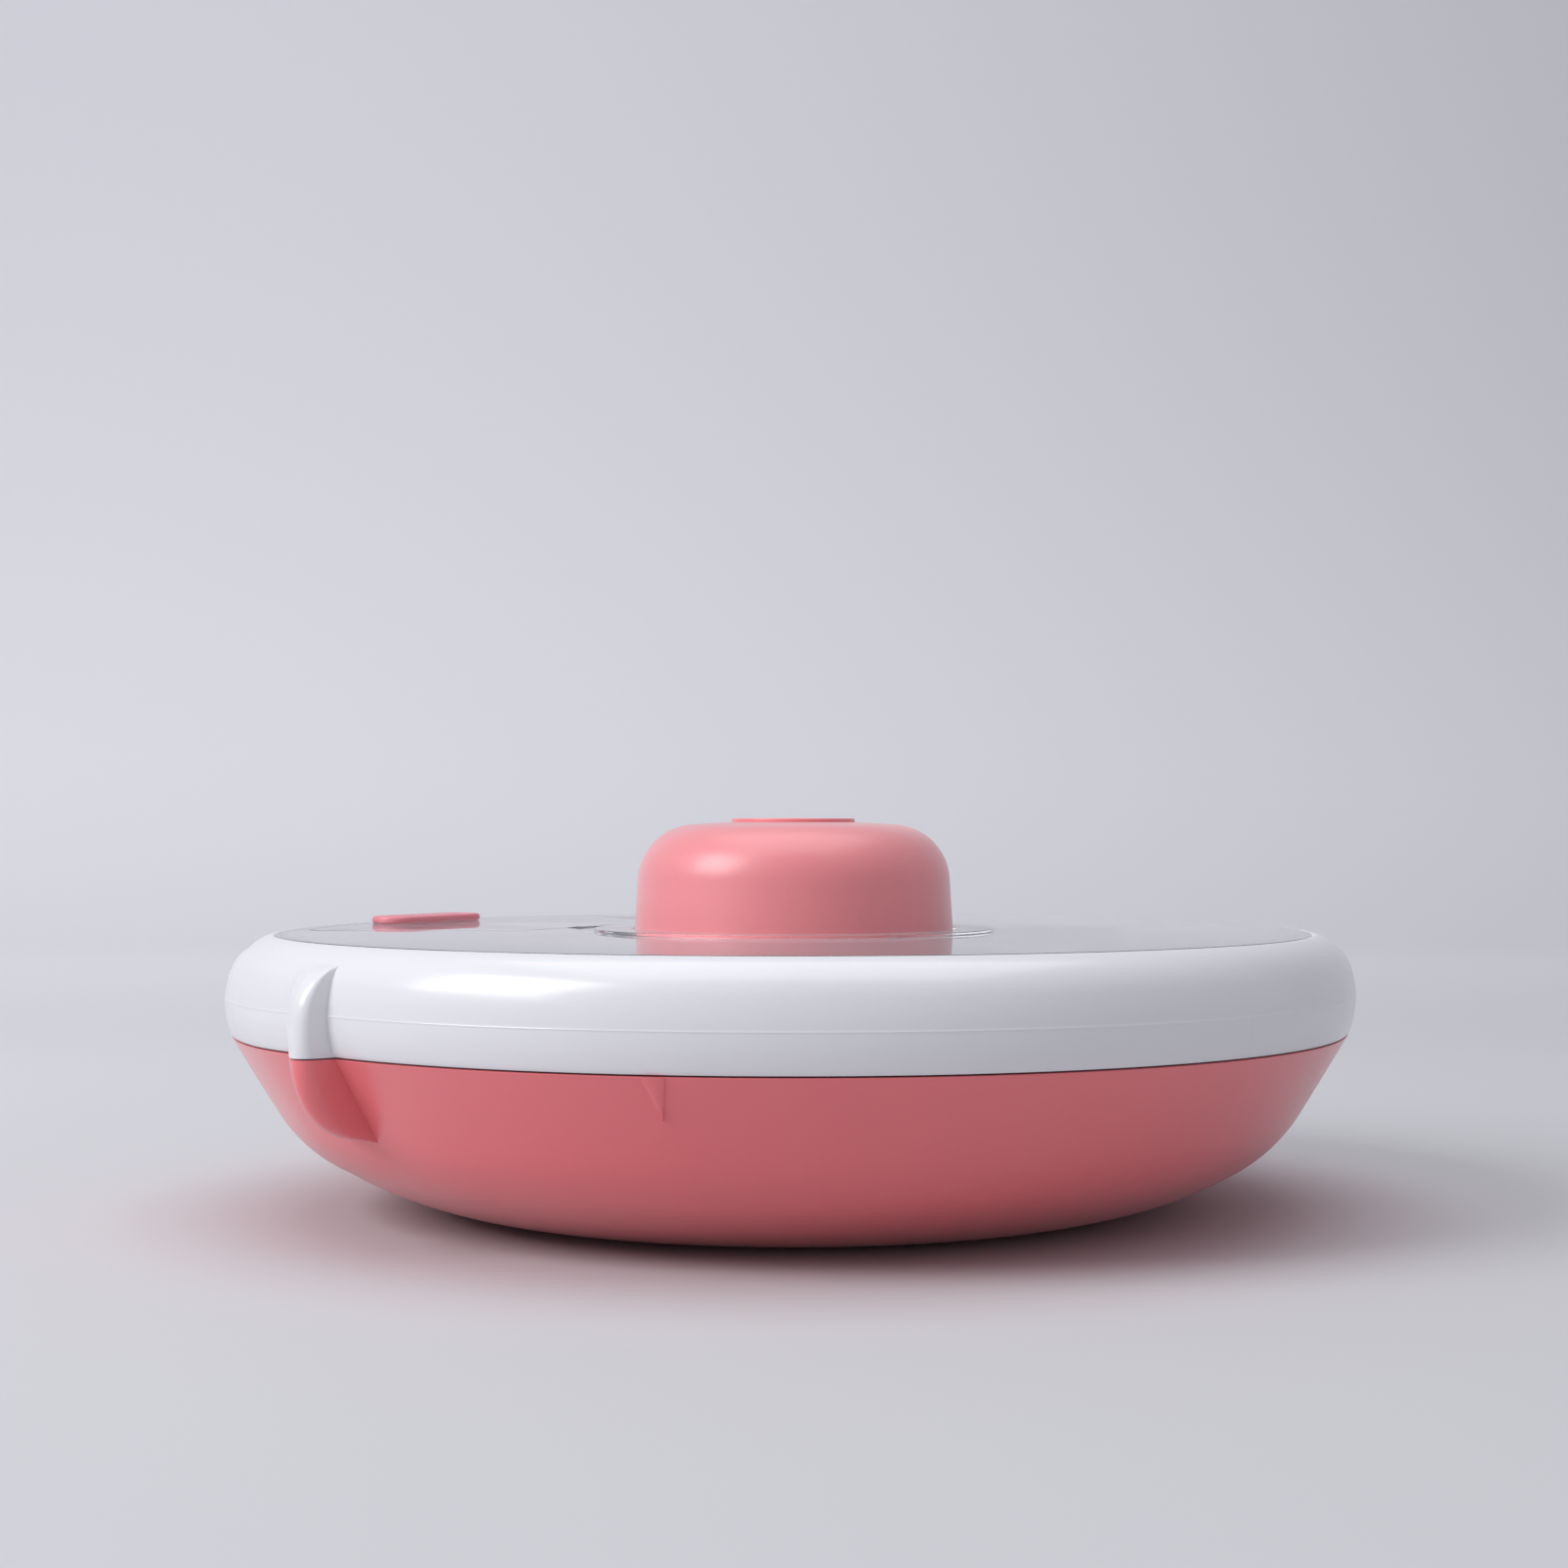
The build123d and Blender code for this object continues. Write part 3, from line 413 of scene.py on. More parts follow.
def add_turned(mesh, profile, columns=EVEN_COLUMNS, push=None):
    """Revolves (radius, height) points through the columns' angles. push adds to a point's radius."""
    rings = []
    for angle in columns:
        ring = []
        for index, (radius, height) in enumerate(profile):
            out = radius + (push(index, height, angle) if push else 0.0)
            ring.append(mesh.verts.new((*polar(out, angle), height)))
        rings.append(ring)
    bridge(mesh, rings + rings[:1], closed=False)
    return rings


def turned(profile, columns=EVEN_COLUMNS, push=None):
    """A mesh with one revolved shape."""
    mesh = bmesh.new()
    add_turned(mesh, profile, columns, push)
    return mesh


def clean(mesh):
    """Merges doubled corners, drops faces without area and points the others outward."""
    bmesh.ops.remove_doubles(mesh, verts=mesh.verts, dist=MERGE_DISTANCE)
    empty = [face for face in mesh.faces if face.calc_area() < SMALLEST_FACE]
    bmesh.ops.delete(mesh, geom=empty, context="FACES_ONLY")
    bmesh.ops.recalc_face_normals(mesh, faces=mesh.faces)


def to_object(name, mesh, unit=MM):
    """Makes an object of a mesh whose sizes are in the unit."""
    clean(mesh)
    bmesh.ops.scale(mesh, vec=(unit, unit, unit), verts=mesh.verts)
    data = bpy.data.meshes.new(name)
    mesh.to_mesh(data)
    mesh.free()
    made = bpy.data.objects.new(name, data)
    bpy.context.scene.collection.objects.link(made)
    return made


def apply_modifiers(piece):
    """Makes the shape that the modifiers give into the object's own mesh."""
    shown = piece.evaluated_get(bpy.context.evaluated_depsgraph_get())
    shape = bpy.data.meshes.new_from_object(shown)
    shape.name = piece.data.name
    piece.modifiers.clear()
    piece.data = shape


def weld(base, mesh, operation="UNION"):
    """Joins a closed shape to base, or cuts it out, as one solid."""
    tool = to_object("tool", mesh)
    step = base.modifiers.new("weld", "BOOLEAN")
    step.object = tool
    step.operation = operation
    step.solver = "EXACT"
    apply_modifiers(base)
    bpy.data.objects.remove(tool)


def make_piece(name, mesh, body, material, stands_for, flat_faces=True):
    """Names, shades and paints a finished shape, and fixes it to its body.

    With flat_faces, flat faces look flat up to their rounded edges.
    """
    piece = mesh if isinstance(mesh, bpy.types.Object) else to_object(name, mesh)
    piece.name = name
    piece.data.name = name
    piece.data.shade_smooth()
    piece.data.set_sharp_from_angle(angle=math.radians(CREASE_ANGLE))
    if flat_faces:
        piece.modifiers.new("flat_faces", "WEIGHTED_NORMAL").keep_sharp = True
        apply_modifiers(piece)
    piece.data.materials.clear()
    piece.data.materials.append(material)
    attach(piece, body)
    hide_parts(*stands_for)
    return piece


# ---------------------------------------------------------------- materials
NOISE_MIDDLE = (0.35, 0.65)
PLASTIC_IOR = 1.5
GRAIN_DEPTH = 0.002
FLOW_SHADE = 0.985
GLOSS_SPREAD = 0.02
COAT_SMOOTHER = 0.08
STREAK_SHADE = 0.86
STREAK_SPREAD = 0.07
STREAK_DEPTH = 0.01


def new_material(name):
    """A material, its node tree, its shader, and the place on the object that its textures follow."""
    material = bpy.data.materials.new(name)
    material.use_nodes = True
    tree = material.node_tree
    shader = tree.nodes["Principled BSDF"]
    place = tree.nodes.new("ShaderNodeTexCoord").outputs["Object"]
    return material, tree, shader, place


def set_inputs(node, values):
    """Sets a node's inputs from their labels and values."""
    for label, value in values.items():
        node.inputs[label].default_value = value


def noise(tree, place, size, detail=2.0, stretch=(1, 1, 1)):
    """Noise whose features are about size millimetres across."""
    mapping = tree.nodes.new("ShaderNodeMapping")
    mapping.inputs["Scale"].default_value = stretch
    tree.links.new(place, mapping.inputs["Vector"])
    texture = tree.nodes.new("ShaderNodeTexNoise")
    set_inputs(texture, {"Scale": 1 / (size * MM), "Detail": detail})
    tree.links.new(mapping.outputs["Vector"], texture.inputs["Vector"])
    return texture.outputs["Fac"]


def map_range(tree, value, source, target):
    """A value moved from the source range to the target range."""
    node = tree.nodes.new("ShaderNodeMapRange")
    labels = ("From Min", "From Max", "To Min", "To Max")
    set_inputs(node, dict(zip(labels, (*source, *target))))
    tree.links.new(value, node.inputs["Value"])
    return node.outputs["Result"]


def colour_ramp(tree, share, stops, easing="LINEAR"):
    """Colour along a share, from (position, colour) stops."""
    ramp = tree.nodes.new("ShaderNodeValToRGB")
    ramp.color_ramp.interpolation = easing
    elements = ramp.color_ramp.elements
    while len(elements) < len(stops):
        elements.new(0.5)
    for element, (position, colour) in zip(elements, stops):
        element.position = position
        element.color = (*colour, 1)
    tree.links.new(share, ramp.inputs["Fac"])
    return ramp.outputs["Color"]


def bump(tree, height, depth, normal=None):
    """Bump of a depth in millimetres, on top of an earlier one."""
    node = tree.nodes.new("ShaderNodeBump")
    node.inputs["Distance"].default_value = depth * MM
    tree.links.new(height, node.inputs["Height"])
    if normal:
        tree.links.new(normal, node.inputs["Normal"])
    return node.outputs["Normal"]


def vary_colour(tree, shader, share, colour, darkest):
    """Base colour that falls to the darkest share of itself over a noise."""
    low, high = NOISE_MIDDLE
    stops = [(low, [darkest * channel for channel in colour]), (high, colour)]
    tree.links.new(colour_ramp(tree, share, stops), shader.inputs["Base Color"])


def vary_roughness(tree, shader, share, middle, spread):
    """Roughness that stays within a spread of its middle over a noise."""
    rough = map_range(tree, share, NOISE_MIDDLE, (middle - spread, middle + spread))
    tree.links.new(rough, shader.inputs["Roughness"])


def plastic(name, colour, roughness, wave=0.05, coat=0.0, soft=0.0, sheen=0.0):
    """Moulded plastic: faint flow marks in the colour, uneven gloss, slow waves and a fine grain."""
    material, tree, shader, place = new_material(name)
    flow = noise(tree, place, 30.0, detail=4.0, stretch=(1, 1, 2.5))
    vary_colour(tree, shader, flow, colour, FLOW_SHADE)
    gloss = noise(tree, place, 9.0, detail=5.0)
    vary_roughness(tree, shader, gloss, roughness, GLOSS_SPREAD)
    waves = bump(tree, noise(tree, place, 24.0, detail=0.0), wave)
    grain = bump(tree, noise(tree, place, 0.5), GRAIN_DEPTH, waves)
    tree.links.new(grain, shader.inputs["Normal"])
    look = {
        "IOR": PLASTIC_IOR,
        "Coat Weight": coat,
        "Coat Roughness": roughness - COAT_SMOOTHER,
        "Sheen Weight": sheen,
        "Sheen Roughness": 0.5,
        "Subsurface Weight": soft,
        "Subsurface Radius": (1.0, 0.5, 0.5),
        "Subsurface Scale": 1.5 * MM,
    }
    set_inputs(shader, look)
    return material


def clear_plastic(name):
    """Clear moulded plastic that lets lamp light through to what is under it."""
    material, tree, shader, place = new_material(name)
    look = {
        "Base Color": (0.99, 0.99, 1.0, 1),
        "Transmission Weight": 1.0,
        "IOR": PLASTIC_IOR,
        "Sheen Weight": 0.35,
        "Sheen Roughness": 0.3,
        "Sheen Tint": (0.9, 0.95, 1.0, 1),
    }
    set_inputs(shader, look)
    vary_roughness(tree, shader, noise(tree, place, 12.0, detail=4.0), 0.01, 0.01)
    through = tree.nodes.new("ShaderNodeBsdfTransparent")
    through.inputs["Color"].default_value = (0.93, 0.93, 0.94, 1)
    path = tree.nodes.new("ShaderNodeLightPath")
    mix = tree.nodes.new("ShaderNodeMixShader")
    output = tree.nodes["Material Output"]
    tree.links.new(path.outputs["Is Shadow Ray"], mix.inputs["Fac"])
    tree.links.new(shader.outputs["BSDF"], mix.inputs[1])
    tree.links.new(through.outputs["BSDF"], mix.inputs[2])
    tree.links.new(mix.outputs["Shader"], output.inputs["Surface"])
    return material


def metal(name, colour, roughness, stretch):
    """Drawn or turned steel: fine streaks along one direction."""
    material, tree, shader, place = new_material(name)
    streaks = noise(tree, place, 1.2, detail=6.0, stretch=stretch)
    vary_colour(tree, shader, streaks, colour, STREAK_SHADE)
    vary_roughness(tree, shader, streaks, roughness, STREAK_SPREAD)
    tree.links.new(bump(tree, streaks, STREAK_DEPTH), shader.inputs["Normal"])
    shader.inputs["Metallic"].default_value = 1.0
    return material


BOWL_PINK = plastic("bowl_pink", (0.86, 0.17, 0.19), 0.34, coat=0.8, soft=0.1, sheen=0.1)
BUTTON_PINK = plastic("button_pink", (0.86, 0.245, 0.275), 0.42, wave=0.03, coat=0.9, soft=0.1, sheen=0.3)
TAB_PINK = plastic("tab_pink", (0.75, 0.23, 0.28), 0.3, wave=0.02, coat=0.2, soft=0.1)
LID_WHITE = plastic("lid_white", (0.79, 0.79, 0.825), 0.24, wave=0.12, coat=0.3)
TRAY_WHITE = plastic("tray_white", (0.82, 0.82, 0.83), 0.36, wave=0.06)
WORKS_WHITE = plastic("mechanism_white", (0.74, 0.75, 0.77), 0.42, wave=0.03)
NYLON = plastic("washer_nylon", (0.72, 0.70, 0.64), 0.45, wave=0.01)
SILICONE = plastic("seal_silicone", (0.66, 0.67, 0.69), 0.5, wave=0.01, soft=0.3)
WINDOW_CLEAR = clear_plastic("window_clear")
DOOR_CLEAR = clear_plastic("door_clear")
SCREW_STEEL = metal("screw_steel", (0.62, 0.62, 0.64), 0.3, (1, 1, 0.2))
PIN_STEEL = metal("pin_steel", (0.66, 0.66, 0.67), 0.22, (1, 1, 1))
SPRING_STEEL = metal("spring_steel", (0.55, 0.55, 0.56), 0.32, (1, 1, 3))

# ---------------------------------------------------------------- columns and thumb fins
RIM_RADIUS = LID_WIDEST[0]
DEGREES_PER_MM = math.degrees(1 / RIM_RADIUS)
FIN_PITCH = 360.0 / FIN_COUNT


def behind_wall(angle):
    """Degrees back from a fin's steep wall."""
    return (FIN_WALL_ANGLE - angle) % FIN_PITCH


def smooth_step(share):
    """0 to 1 with a level start and end."""
    share = min(max(share, 0.0), 1.0)
    return share * share * (3 - 2 * share)


def bulge(height, bottom, middle, top):
    """1 at the middle height, falling ever faster to 0 at the bottom and the top."""
    end = top if height >= middle else bottom
    share = min(1.0, abs((height - middle) / (end - middle)))
    return math.sqrt(1 - share**FIN_ROUNDNESS)


def crest_radius(height):
    """Radius of the fin's rib at a height; its ends lie close to the body."""
    end = FIN_CREST["top"] if height >= FIN_CREST["middle"] else FIN_CREST["bottom"]
    share = bulge(height, FIN_CREST["bottom"][1], FIN_CREST["middle"], FIN_CREST["top"][1])
    return end[0] + (FIN_CREST["radius"] - end[0]) * share


def fin_rise(radius, height, angle):
    """How far a fin stands out of the body: steep wall, rounded edge, flank, then a low pad."""
    behind = behind_wall(angle)
    if behind > FIN_ARC:
        return 0.0
    distance = behind / DEGREES_PER_MM
    rib = 0.0
    if FIN_CREST["bottom"][1] < height < FIN_CREST["top"][1]:
        rib = max(0.0, crest_radius(height) - radius)
    if distance < FIN_WALL_RUN:
        return rib * FIN_WALL_SHARE * distance / FIN_WALL_RUN
    along_edge = (distance - FIN_WALL_RUN) / FIN_EDGE
    if along_edge < 1:
        return rib * (FIN_WALL_SHARE + (1 - FIN_WALL_SHARE) * math.sqrt(1 - (1 - along_edge) ** 2))
    down = smooth_step((distance - FIN_WALL_RUN - FIN_EDGE) / FIN_FLANK)
    fade = 1 - smooth_step((behind - FIN_FADE_START) / (FIN_ARC - FIN_FADE_START))
    pad = FIN_PAD["rise"] * fade * bulge(height, FIN_PAD["bottom"], FIN_PAD["middle"], FIN_PAD["top"])
    return rib * (1 - down) + pad * smooth_step(distance / FIN_PAD_RUN)


def fin_columns():
    """Even columns, with close ones at the fins' walls and rounded edges and at the witness line."""
    distances = [-1.2, -0.4, -0.1, 0.0, 0.06, 0.12, 0.18, FIN_WALL_RUN]
    distances += [FIN_WALL_RUN + FIN_EDGE * (1 - math.cos(math.pi / 2 * k / 8)) for k in range(1, 9)]
    distances += [FIN_WALL_RUN + FIN_EDGE + FIN_FLANK * k / 10 for k in range(1, 11)]
    walls = [FIN_WALL_ANGLE + FIN_PITCH * fin for fin in range(FIN_COUNT)]
    close = [(wall - distance * DEGREES_PER_MM) % 360 for wall in walls for distance in distances]
    close += [(WITNESS_ANGLE + offset) % 360 for offset in (-0.3, -0.09, 0.0, 0.09, 0.3)]
    even = [column for column in EVEN_COLUMNS if all(abs(column - other) > 0.3 for other in close)]
    return sorted(set(round(column, 5) for column in close + even))


FIN_COLUMNS = fin_columns()

# ---------------------------------------------------------------- bowl
KNEE_SLOPE = 2 * math.atan2(KNEE[1], KNEE[0] - BASE_RADIUS)
WALL_SLOPE = 2 * math.atan2(SHOULDER[1] - KNEE[1], SHOULDER[0] - KNEE[0]) - KNEE_SLOPE


def bowl_skin(depth, steps=16):
    """The bowl's bottom and corner arcs at a depth inside its outer skin, from the base outward."""
    base = (BASE_RADIUS, depth)
    knee = (KNEE[0] - depth * math.sin(KNEE_SLOPE), KNEE[1] + depth * math.cos(KNEE_SLOPE))
    shoulder = (
        SHOULDER[0] - depth * math.sin(WALL_SLOPE),
        SHOULDER[1] + depth * math.cos(WALL_SLOPE),
    )
    points = [base] + arc_to(base, (1, 0), knee, steps)
    return points + arc_to(knee, (math.cos(KNEE_SLOPE), math.sin(KNEE_SLOPE)), shoulder, steps)


def wall_radius(height):
    """Radius of the bowl's straight wall at a height."""
    return SHOULDER[0] + (height - SHOULDER[1]) / math.tan(WALL_SLOPE)


def bowl_section():
    """(profile, how many of its first points are the outer skin up to the rim)."""
    underside = [
        (0, POST_TOP - BOWL_WALL),
        (POST_CORE_RADIUS, POST_TOP - BOWL_WALL),
        (POST_CORE_RADIUS, BASE_RECESS),
        (BASE_RECESS_RADIUS, BASE_RECESS),
        (BASE_RECESS_RADIUS + BASE_RECESS, 0),
        (BASE_RADIUS, 0),
    ]
    wall = [(wall_radius(height), height) for height in np.linspace(SHOULDER[1], BOWL_RIM - 0.5, 14)[1:]]
    radius = wall_radius(BOWL_RIM)
    lip = [(wall_radius(BOWL_RIM - 0.15), BOWL_RIM - 0.15)]
    lip += [(radius - 0.1, BOWL_RIM - 0.04), (radius - 0.3, BOWL_RIM)]
    skin = soften(underside, 0.4) + bowl_skin(0)[1:] + wall + lip
    inner_skin = list(reversed(bowl_skin(BOWL_WALL)))
    neck = [
        skin[-1],
        (NECK_OUTER, BOWL_RIM),
        (NECK_OUTER, NECK_TOP),
        (NECK_INNER, NECK_TOP),
        (NECK_INNER, BOWL_RIM),
        inner_skin[0],
    ]
    post = [inner_skin[-1], (POST_RADIUS, BOWL_WALL), (POST_RADIUS, POST_TOP), (0, POST_TOP)]
    profile = skin + soften(neck, 0.5)[1:-1] + inner_skin + soften(post, 0.8)[1:]
    return profile, len(skin)


def add_lugs(mesh, inner, outer, heights):
    """Bayonet lugs: short arcs of a ring."""
    outline = sector(inner, outer, LUG_ARC / 2, 0.3, arc_steps=10, corner_steps=3)
    add_prisms_round(mesh, LUG_COUNT, outline, *heights, first=LUG_ARC / 2)


def add_index_triangle(mesh):
    """Shallow raised triangle on the bowl's wall, its upright edge on the right."""
    rows, columns = 8, 4
    start, end = INDEX_RIGHT
    front, back = [], []
    for row in range(rows + 1):
        share = row / rows
        height = BOWL_RIM - 0.1 - INDEX_DROP * share
        right = INDEX_WIDTH * (start + (end - start) * share)
        left = right - INDEX_WIDTH * max(INDEX_TIP, 1 - share)
        for face, rise in ((front, INDEX_RISE), (back, -INDEX_ROOT)):
            points = []
            for column in range(columns + 1):
                side = left + (right - left) * column / columns
                # The front face falls off at its sides.
                edge = 0.5 if column in (0, columns) and rise > 0 else 1.0
                angle = INDEX_ANGLE + math.degrees(side / wall_radius(height))
                points.append(mesh.verts.new((*polar(wall_radius(height) + rise * edge, angle), height)))
            face.append(points)
    bridge(mesh, front, closed=False)
    bridge(mesh, back, closed=False)
    for column in (0, columns):
        edges = [[row[column] for row in face] for face in (front, back)]
        bridge(mesh, edges, closed=False)
    bridge(mesh, [front[0], back[0]], closed=False)
    bridge(mesh, [front[-1], back[-1]], closed=False)


def make_bowl():
    """Bowl with its neck, lugs, thumb fins and index triangle."""
    profile, skin_points = bowl_section()

    def push(index, height, angle):
        return fin_rise(profile[index][0], height, angle) if index < skin_points else 0.0

    bowl = to_object("bowl", turned(profile, FIN_COLUMNS, push))
    extras = bmesh.new()
    add_index_triangle(extras)
    add_lugs(extras, NECK_OUTER - LUG_ROOT, NECK_OUTER + LUG_REACH, BOWL_LUG)
    weld(bowl, extras)
    make_piece("bowl_shell", bowl, "base", BOWL_PINK, ["outer_bowl"], flat_faces=False)


# ---------------------------------------------------------------- lid ring


def lid_side_radius(height):
    """Radius of the bulging side, an arc through its foot, its widest point and its shoulder."""
    foot = np.array((LID_FOOT_RADIUS, LID_FOOT_HEIGHT))
    others = np.array((LID_WIDEST, LID_SHOULDER))
    squares = (others**2).sum(1) - (foot**2).sum()
    centre = np.linalg.solve(others - foot, squares / 2)
    radius = math.dist(foot, centre)
    return centre[0] + math.sqrt(radius**2 - (height - centre[1]) ** 2)


def lid_section():
    """(profile that ends where it starts, how many of its first points are the outer skin)."""
    foot = LID_FOOT_HEIGHT
    heights = list(np.linspace(foot + 0.4, LID_SHOULDER[1], 18))
    heights += [PARTING_HEIGHT + offset for offset in (-0.35, -0.14, 0.0, 0.14, 0.35)]
    side = []
    for height in sorted(heights):
        ridge = PARTING_RISE * math.exp(-(((height - PARTING_HEIGHT) / PARTING_SPREAD) ** 2))
        side.append((lid_side_radius(height) + ridge, height))
    shoulder = arc_to(side[-1], heading_at_end(side), (LID_TOP_RADIUS + LID_EDGE, LID_TOP), 20)
    foot_edge = [(0.35, 0.0), (0.1, 0.05), (0.0, 0.18)]
    skin = [(LID_FOOT_RADIUS - inward, foot + up) for inward, up in foot_edge] + side + shoulder
    inside = [
        (WINDOW_SEAT, LID_TOP - 0.05),
        (WINDOW_SEAT, WINDOW_LOW.z),
        (LEDGE_INNER, WINDOW_LOW.z),
        (LEDGE_INNER, WINDOW_LOW.z - LEDGE_THICKNESS),
        (SEAL_POCKET[0], SEAL_ROOF),
        (SEAL_POCKET[1], SEAL_ROOF),
        (LID_INNER, SEAL_ROOF - SEAL_SKIRT),
        (LID_INNER, foot),
    ]
    profile = skin + soften([skin[-1]] + inside + [skin[0]], LID_EDGE)[1:]
    return profile, len(skin)


def make_lid():
    """Lid ring with its lugs, thumb fins, parting line and witness line."""
    profile, skin_points = lid_section()
    end = len(profile) - 1

    def push(index, height, angle):
        if skin_points <= index < end:
            return 0.0
        from_witness = abs((angle - WITNESS_ANGLE + 180) % 360 - 180)
        on_witness = from_witness < WITNESS_HALF_WIDTH and height < PARTING_HEIGHT
        return fin_rise(profile[index][0], height, angle) + (WITNESS_RISE if on_witness else 0.0)

    lid = to_object("lid", turned(profile, FIN_COLUMNS, push))
    lugs = bmesh.new()
    add_lugs(lugs, NECK_OUTER + LUG_REACH + LUG_GAP, LID_INNER + LUG_ROOT, LID_LUG)
    weld(lid, lugs)
    make_piece("lid_shell", lid, "lid", LID_WHITE, ["lid_ring"], flat_faces=False)


# ---------------------------------------------------------------- window, door and tab
# Frame for shapes extruded along the door's hinge: x outward, y up, z along the pin.
ALONG_HINGE = around(DOOR_ANGLE) @ Matrix(((1, 0, 0, 0), (0, 0, -1, 0), (0, 1, 0, 0), (0, 0, 0, 1)))


def place_on_hinge(mesh):
    """Turns a shape made round the Z axis onto the door's hinge line."""
    stand = ALONG_HINGE @ Matrix.Translation((HINGE_RADIUS, HINGE_HEIGHT, 0))
    bmesh.ops.transform(mesh, matrix=stand, verts=mesh.verts)


def at_door(loop):
    """A loop about +X turned to the door's angle."""
    turn = around(DOOR_ANGLE)
    return [tuple((turn @ Vector((x, y, 0)))[:2]) for x, y in loop]


def make_window():
    """Round clear plate: boss round the button, stepped opening for the door, notch for its hinge."""
    mesh = bmesh.new()
    bottom = WINDOW_LOW.z
    rim_profile = [(WINDOW_RADIUS - d, z) for d, z in edge_profile(bottom, PLATE_TOP, PLATE_EDGE)]
    boss_profile = soften(
        [
            (BOSS_RADIUS + 1.0, PLATE_TOP),
            (BOSS_RADIUS, PLATE_TOP),
            (BOSS_RADIUS, BOSS_TOP),
            (BUTTON_HOLE, BOSS_TOP),
            (BUTTON_HOLE, bottom),
            (BUTTON_HOLE + 1.0, bottom),
        ],
        BOSS_EDGE,
    )
    rim = add_turned(mesh, rim_profile)
    boss = add_turned(mesh, boss_profile)
    step = [(-0.1, PLATE_TOP), (-0.03, PLATE_TOP - 0.03), (0, PLATE_TOP - 0.1)]
    step += [(0, RECESS_FLOOR + 0.1), (0.1, RECESS_FLOOR)]
    hole_edge = [(-distance, height) for distance, height in edge_profile(bottom, RECESS_FLOOR, 0.15)]
    pocket = add_stack(mesh, at_door(leaf_outline(**RECESS)), step)
    hole = add_stack(mesh, at_door(sector(**OPENING)), hole_edge)
    fill(mesh, [column[-1] for column in rim], [column[0] for column in boss], pocket[0])
    fill(mesh, pocket[-1], hole[-1])
    fill(mesh, [column[0] for column in rim], [column[-1] for column in boss], hole[0])
    window = to_object("window", mesh)
    half = BARREL_LENGTH / 2 + NOTCH_GAP
    notch = bmesh.new()
    outline = rectangle(NOTCH_INNER, RECESS["hinge_side"] + 0.6, half)
    add_prism(notch, outline, bottom - 1, PLATE_TOP + 1, place=around(DOOR_ANGLE))
    weld(window, notch, "DIFFERENCE")
    end = half + PIN_SEAT
    bore = turned([(0, -end), (PIN_RADIUS, -end), (PIN_RADIUS, end), (0, end)])
    place_on_hinge(bore)
    weld(window, bore, "DIFFERENCE")
    make_piece("window_plate", window, "lid", WINDOW_CLEAR, ["lid_window"])


def make_door():
    """Leaf, with a lip under it that drops in the opening, and a barrel round the hinge pin."""
    mesh = bmesh.new()
    lip_size = {
        "inner": OPENING["inner"] + LIP_CLEARANCE,
        "outer": OPENING["outer"] - LIP_CLEARANCE,
        "half_angle": OPENING["half_angle"],
        "corner": OPENING["corner"] - LIP_CLEARANCE,
        "side_gap": LIP_CLEARANCE,
    }
    around_lip = [(0, DOOR_UNDERSIDE), (0, LIP_LOW + 0.4), (0.1, LIP_LOW + 0.1), (0.4, LIP_LOW)]
    around_lip += [(LIP_WALL - 0.4, LIP_LOW), (LIP_WALL - 0.1, LIP_LOW + 0.1), (LIP_WALL, LIP_LOW + 0.4)]
    around_lip += [(LIP_WALL, DOOR_UNDERSIDE - 0.2), (LIP_WALL + 0.2, DOOR_UNDERSIDE)]
    leaf_edge = list(reversed(edge_profile(DOOR_UNDERSIDE, DOOR_TOP, 0.2)))
    leaf = add_stack(mesh, at_door(leaf_outline(**DOOR)), leaf_edge)
    lip = add_stack(mesh, at_door(sector(**lip_size)), around_lip)
    fill(mesh, leaf[0])
    fill(mesh, leaf[-1], lip[0])
    fill(mesh, lip[-1])
    door = to_object("door", mesh)
    web_end = DOOR["hinge_side"] + 1.0
    foot_angle = math.degrees(math.asin((DOOR_UNDERSIDE - HINGE_HEIGHT) / BARREL_RADIUS))
    hinge = (HINGE_RADIUS, HINGE_HEIGHT)
    outline = [(web_end, DOOR_UNDERSIDE + 0.02), (web_end, DOOR_TOP - 0.02)]
    outline += arc_points(hinge, BARREL_RADIUS - 0.02, 90, 360 + foot_angle, 26)
    bore = arc_points(hinge, PIN_RADIUS + 0.06, 0, 360, 24)[:-1]
    barrel = bmesh.new()
    half = BARREL_LENGTH / 2
    add_prism(barrel, outline, -half, half, edge=0.1, holes=[bore], place=ALONG_HINGE)
    weld(door, barrel)
    make_piece("door_leaf", door, "door", DOOR_CLEAR, ["door_panel"])


def make_tab():
    """Finger tab: rounded rim round a shallow dish."""
    mesh = bmesh.new()
    low, high = TAB_LOW.z, TAB_HIGH.z
    levels = edge_profile(low, high, TAB_EDGE) + [(distance, high - drop) for distance, drop in TAB_DISH]
    rings = add_stack(mesh, slot_outline(TAB_LENGTH, TAB_WIDTH), levels, around(DOOR_ANGLE, TAB_RADIUS))
    fill(mesh, rings[0])
    fill(mesh, rings[-1])
    make_piece("door_finger_tab", mesh, "door", TAB_PINK, ["door_tab"])


def make_pin():
    """Steel pin with bevelled ends."""
    reach = BARREL_LENGTH / 2 + NOTCH_GAP + PIN_SEAT - 0.05
    end = [(0, reach), (PIN_RADIUS - 0.25, reach), (PIN_RADIUS - 0.02, reach - 0.3)]
    profile = [(radius, -height) for radius, height in end] + list(reversed(end))
    mesh = turned(profile, [15 * k for k in range(24)])
    place_on_hinge(mesh)
    make_piece("door_hinge_pin", mesh, "lid", PIN_STEEL, ["hinge_pin"])


# ---------------------------------------------------------------- tray


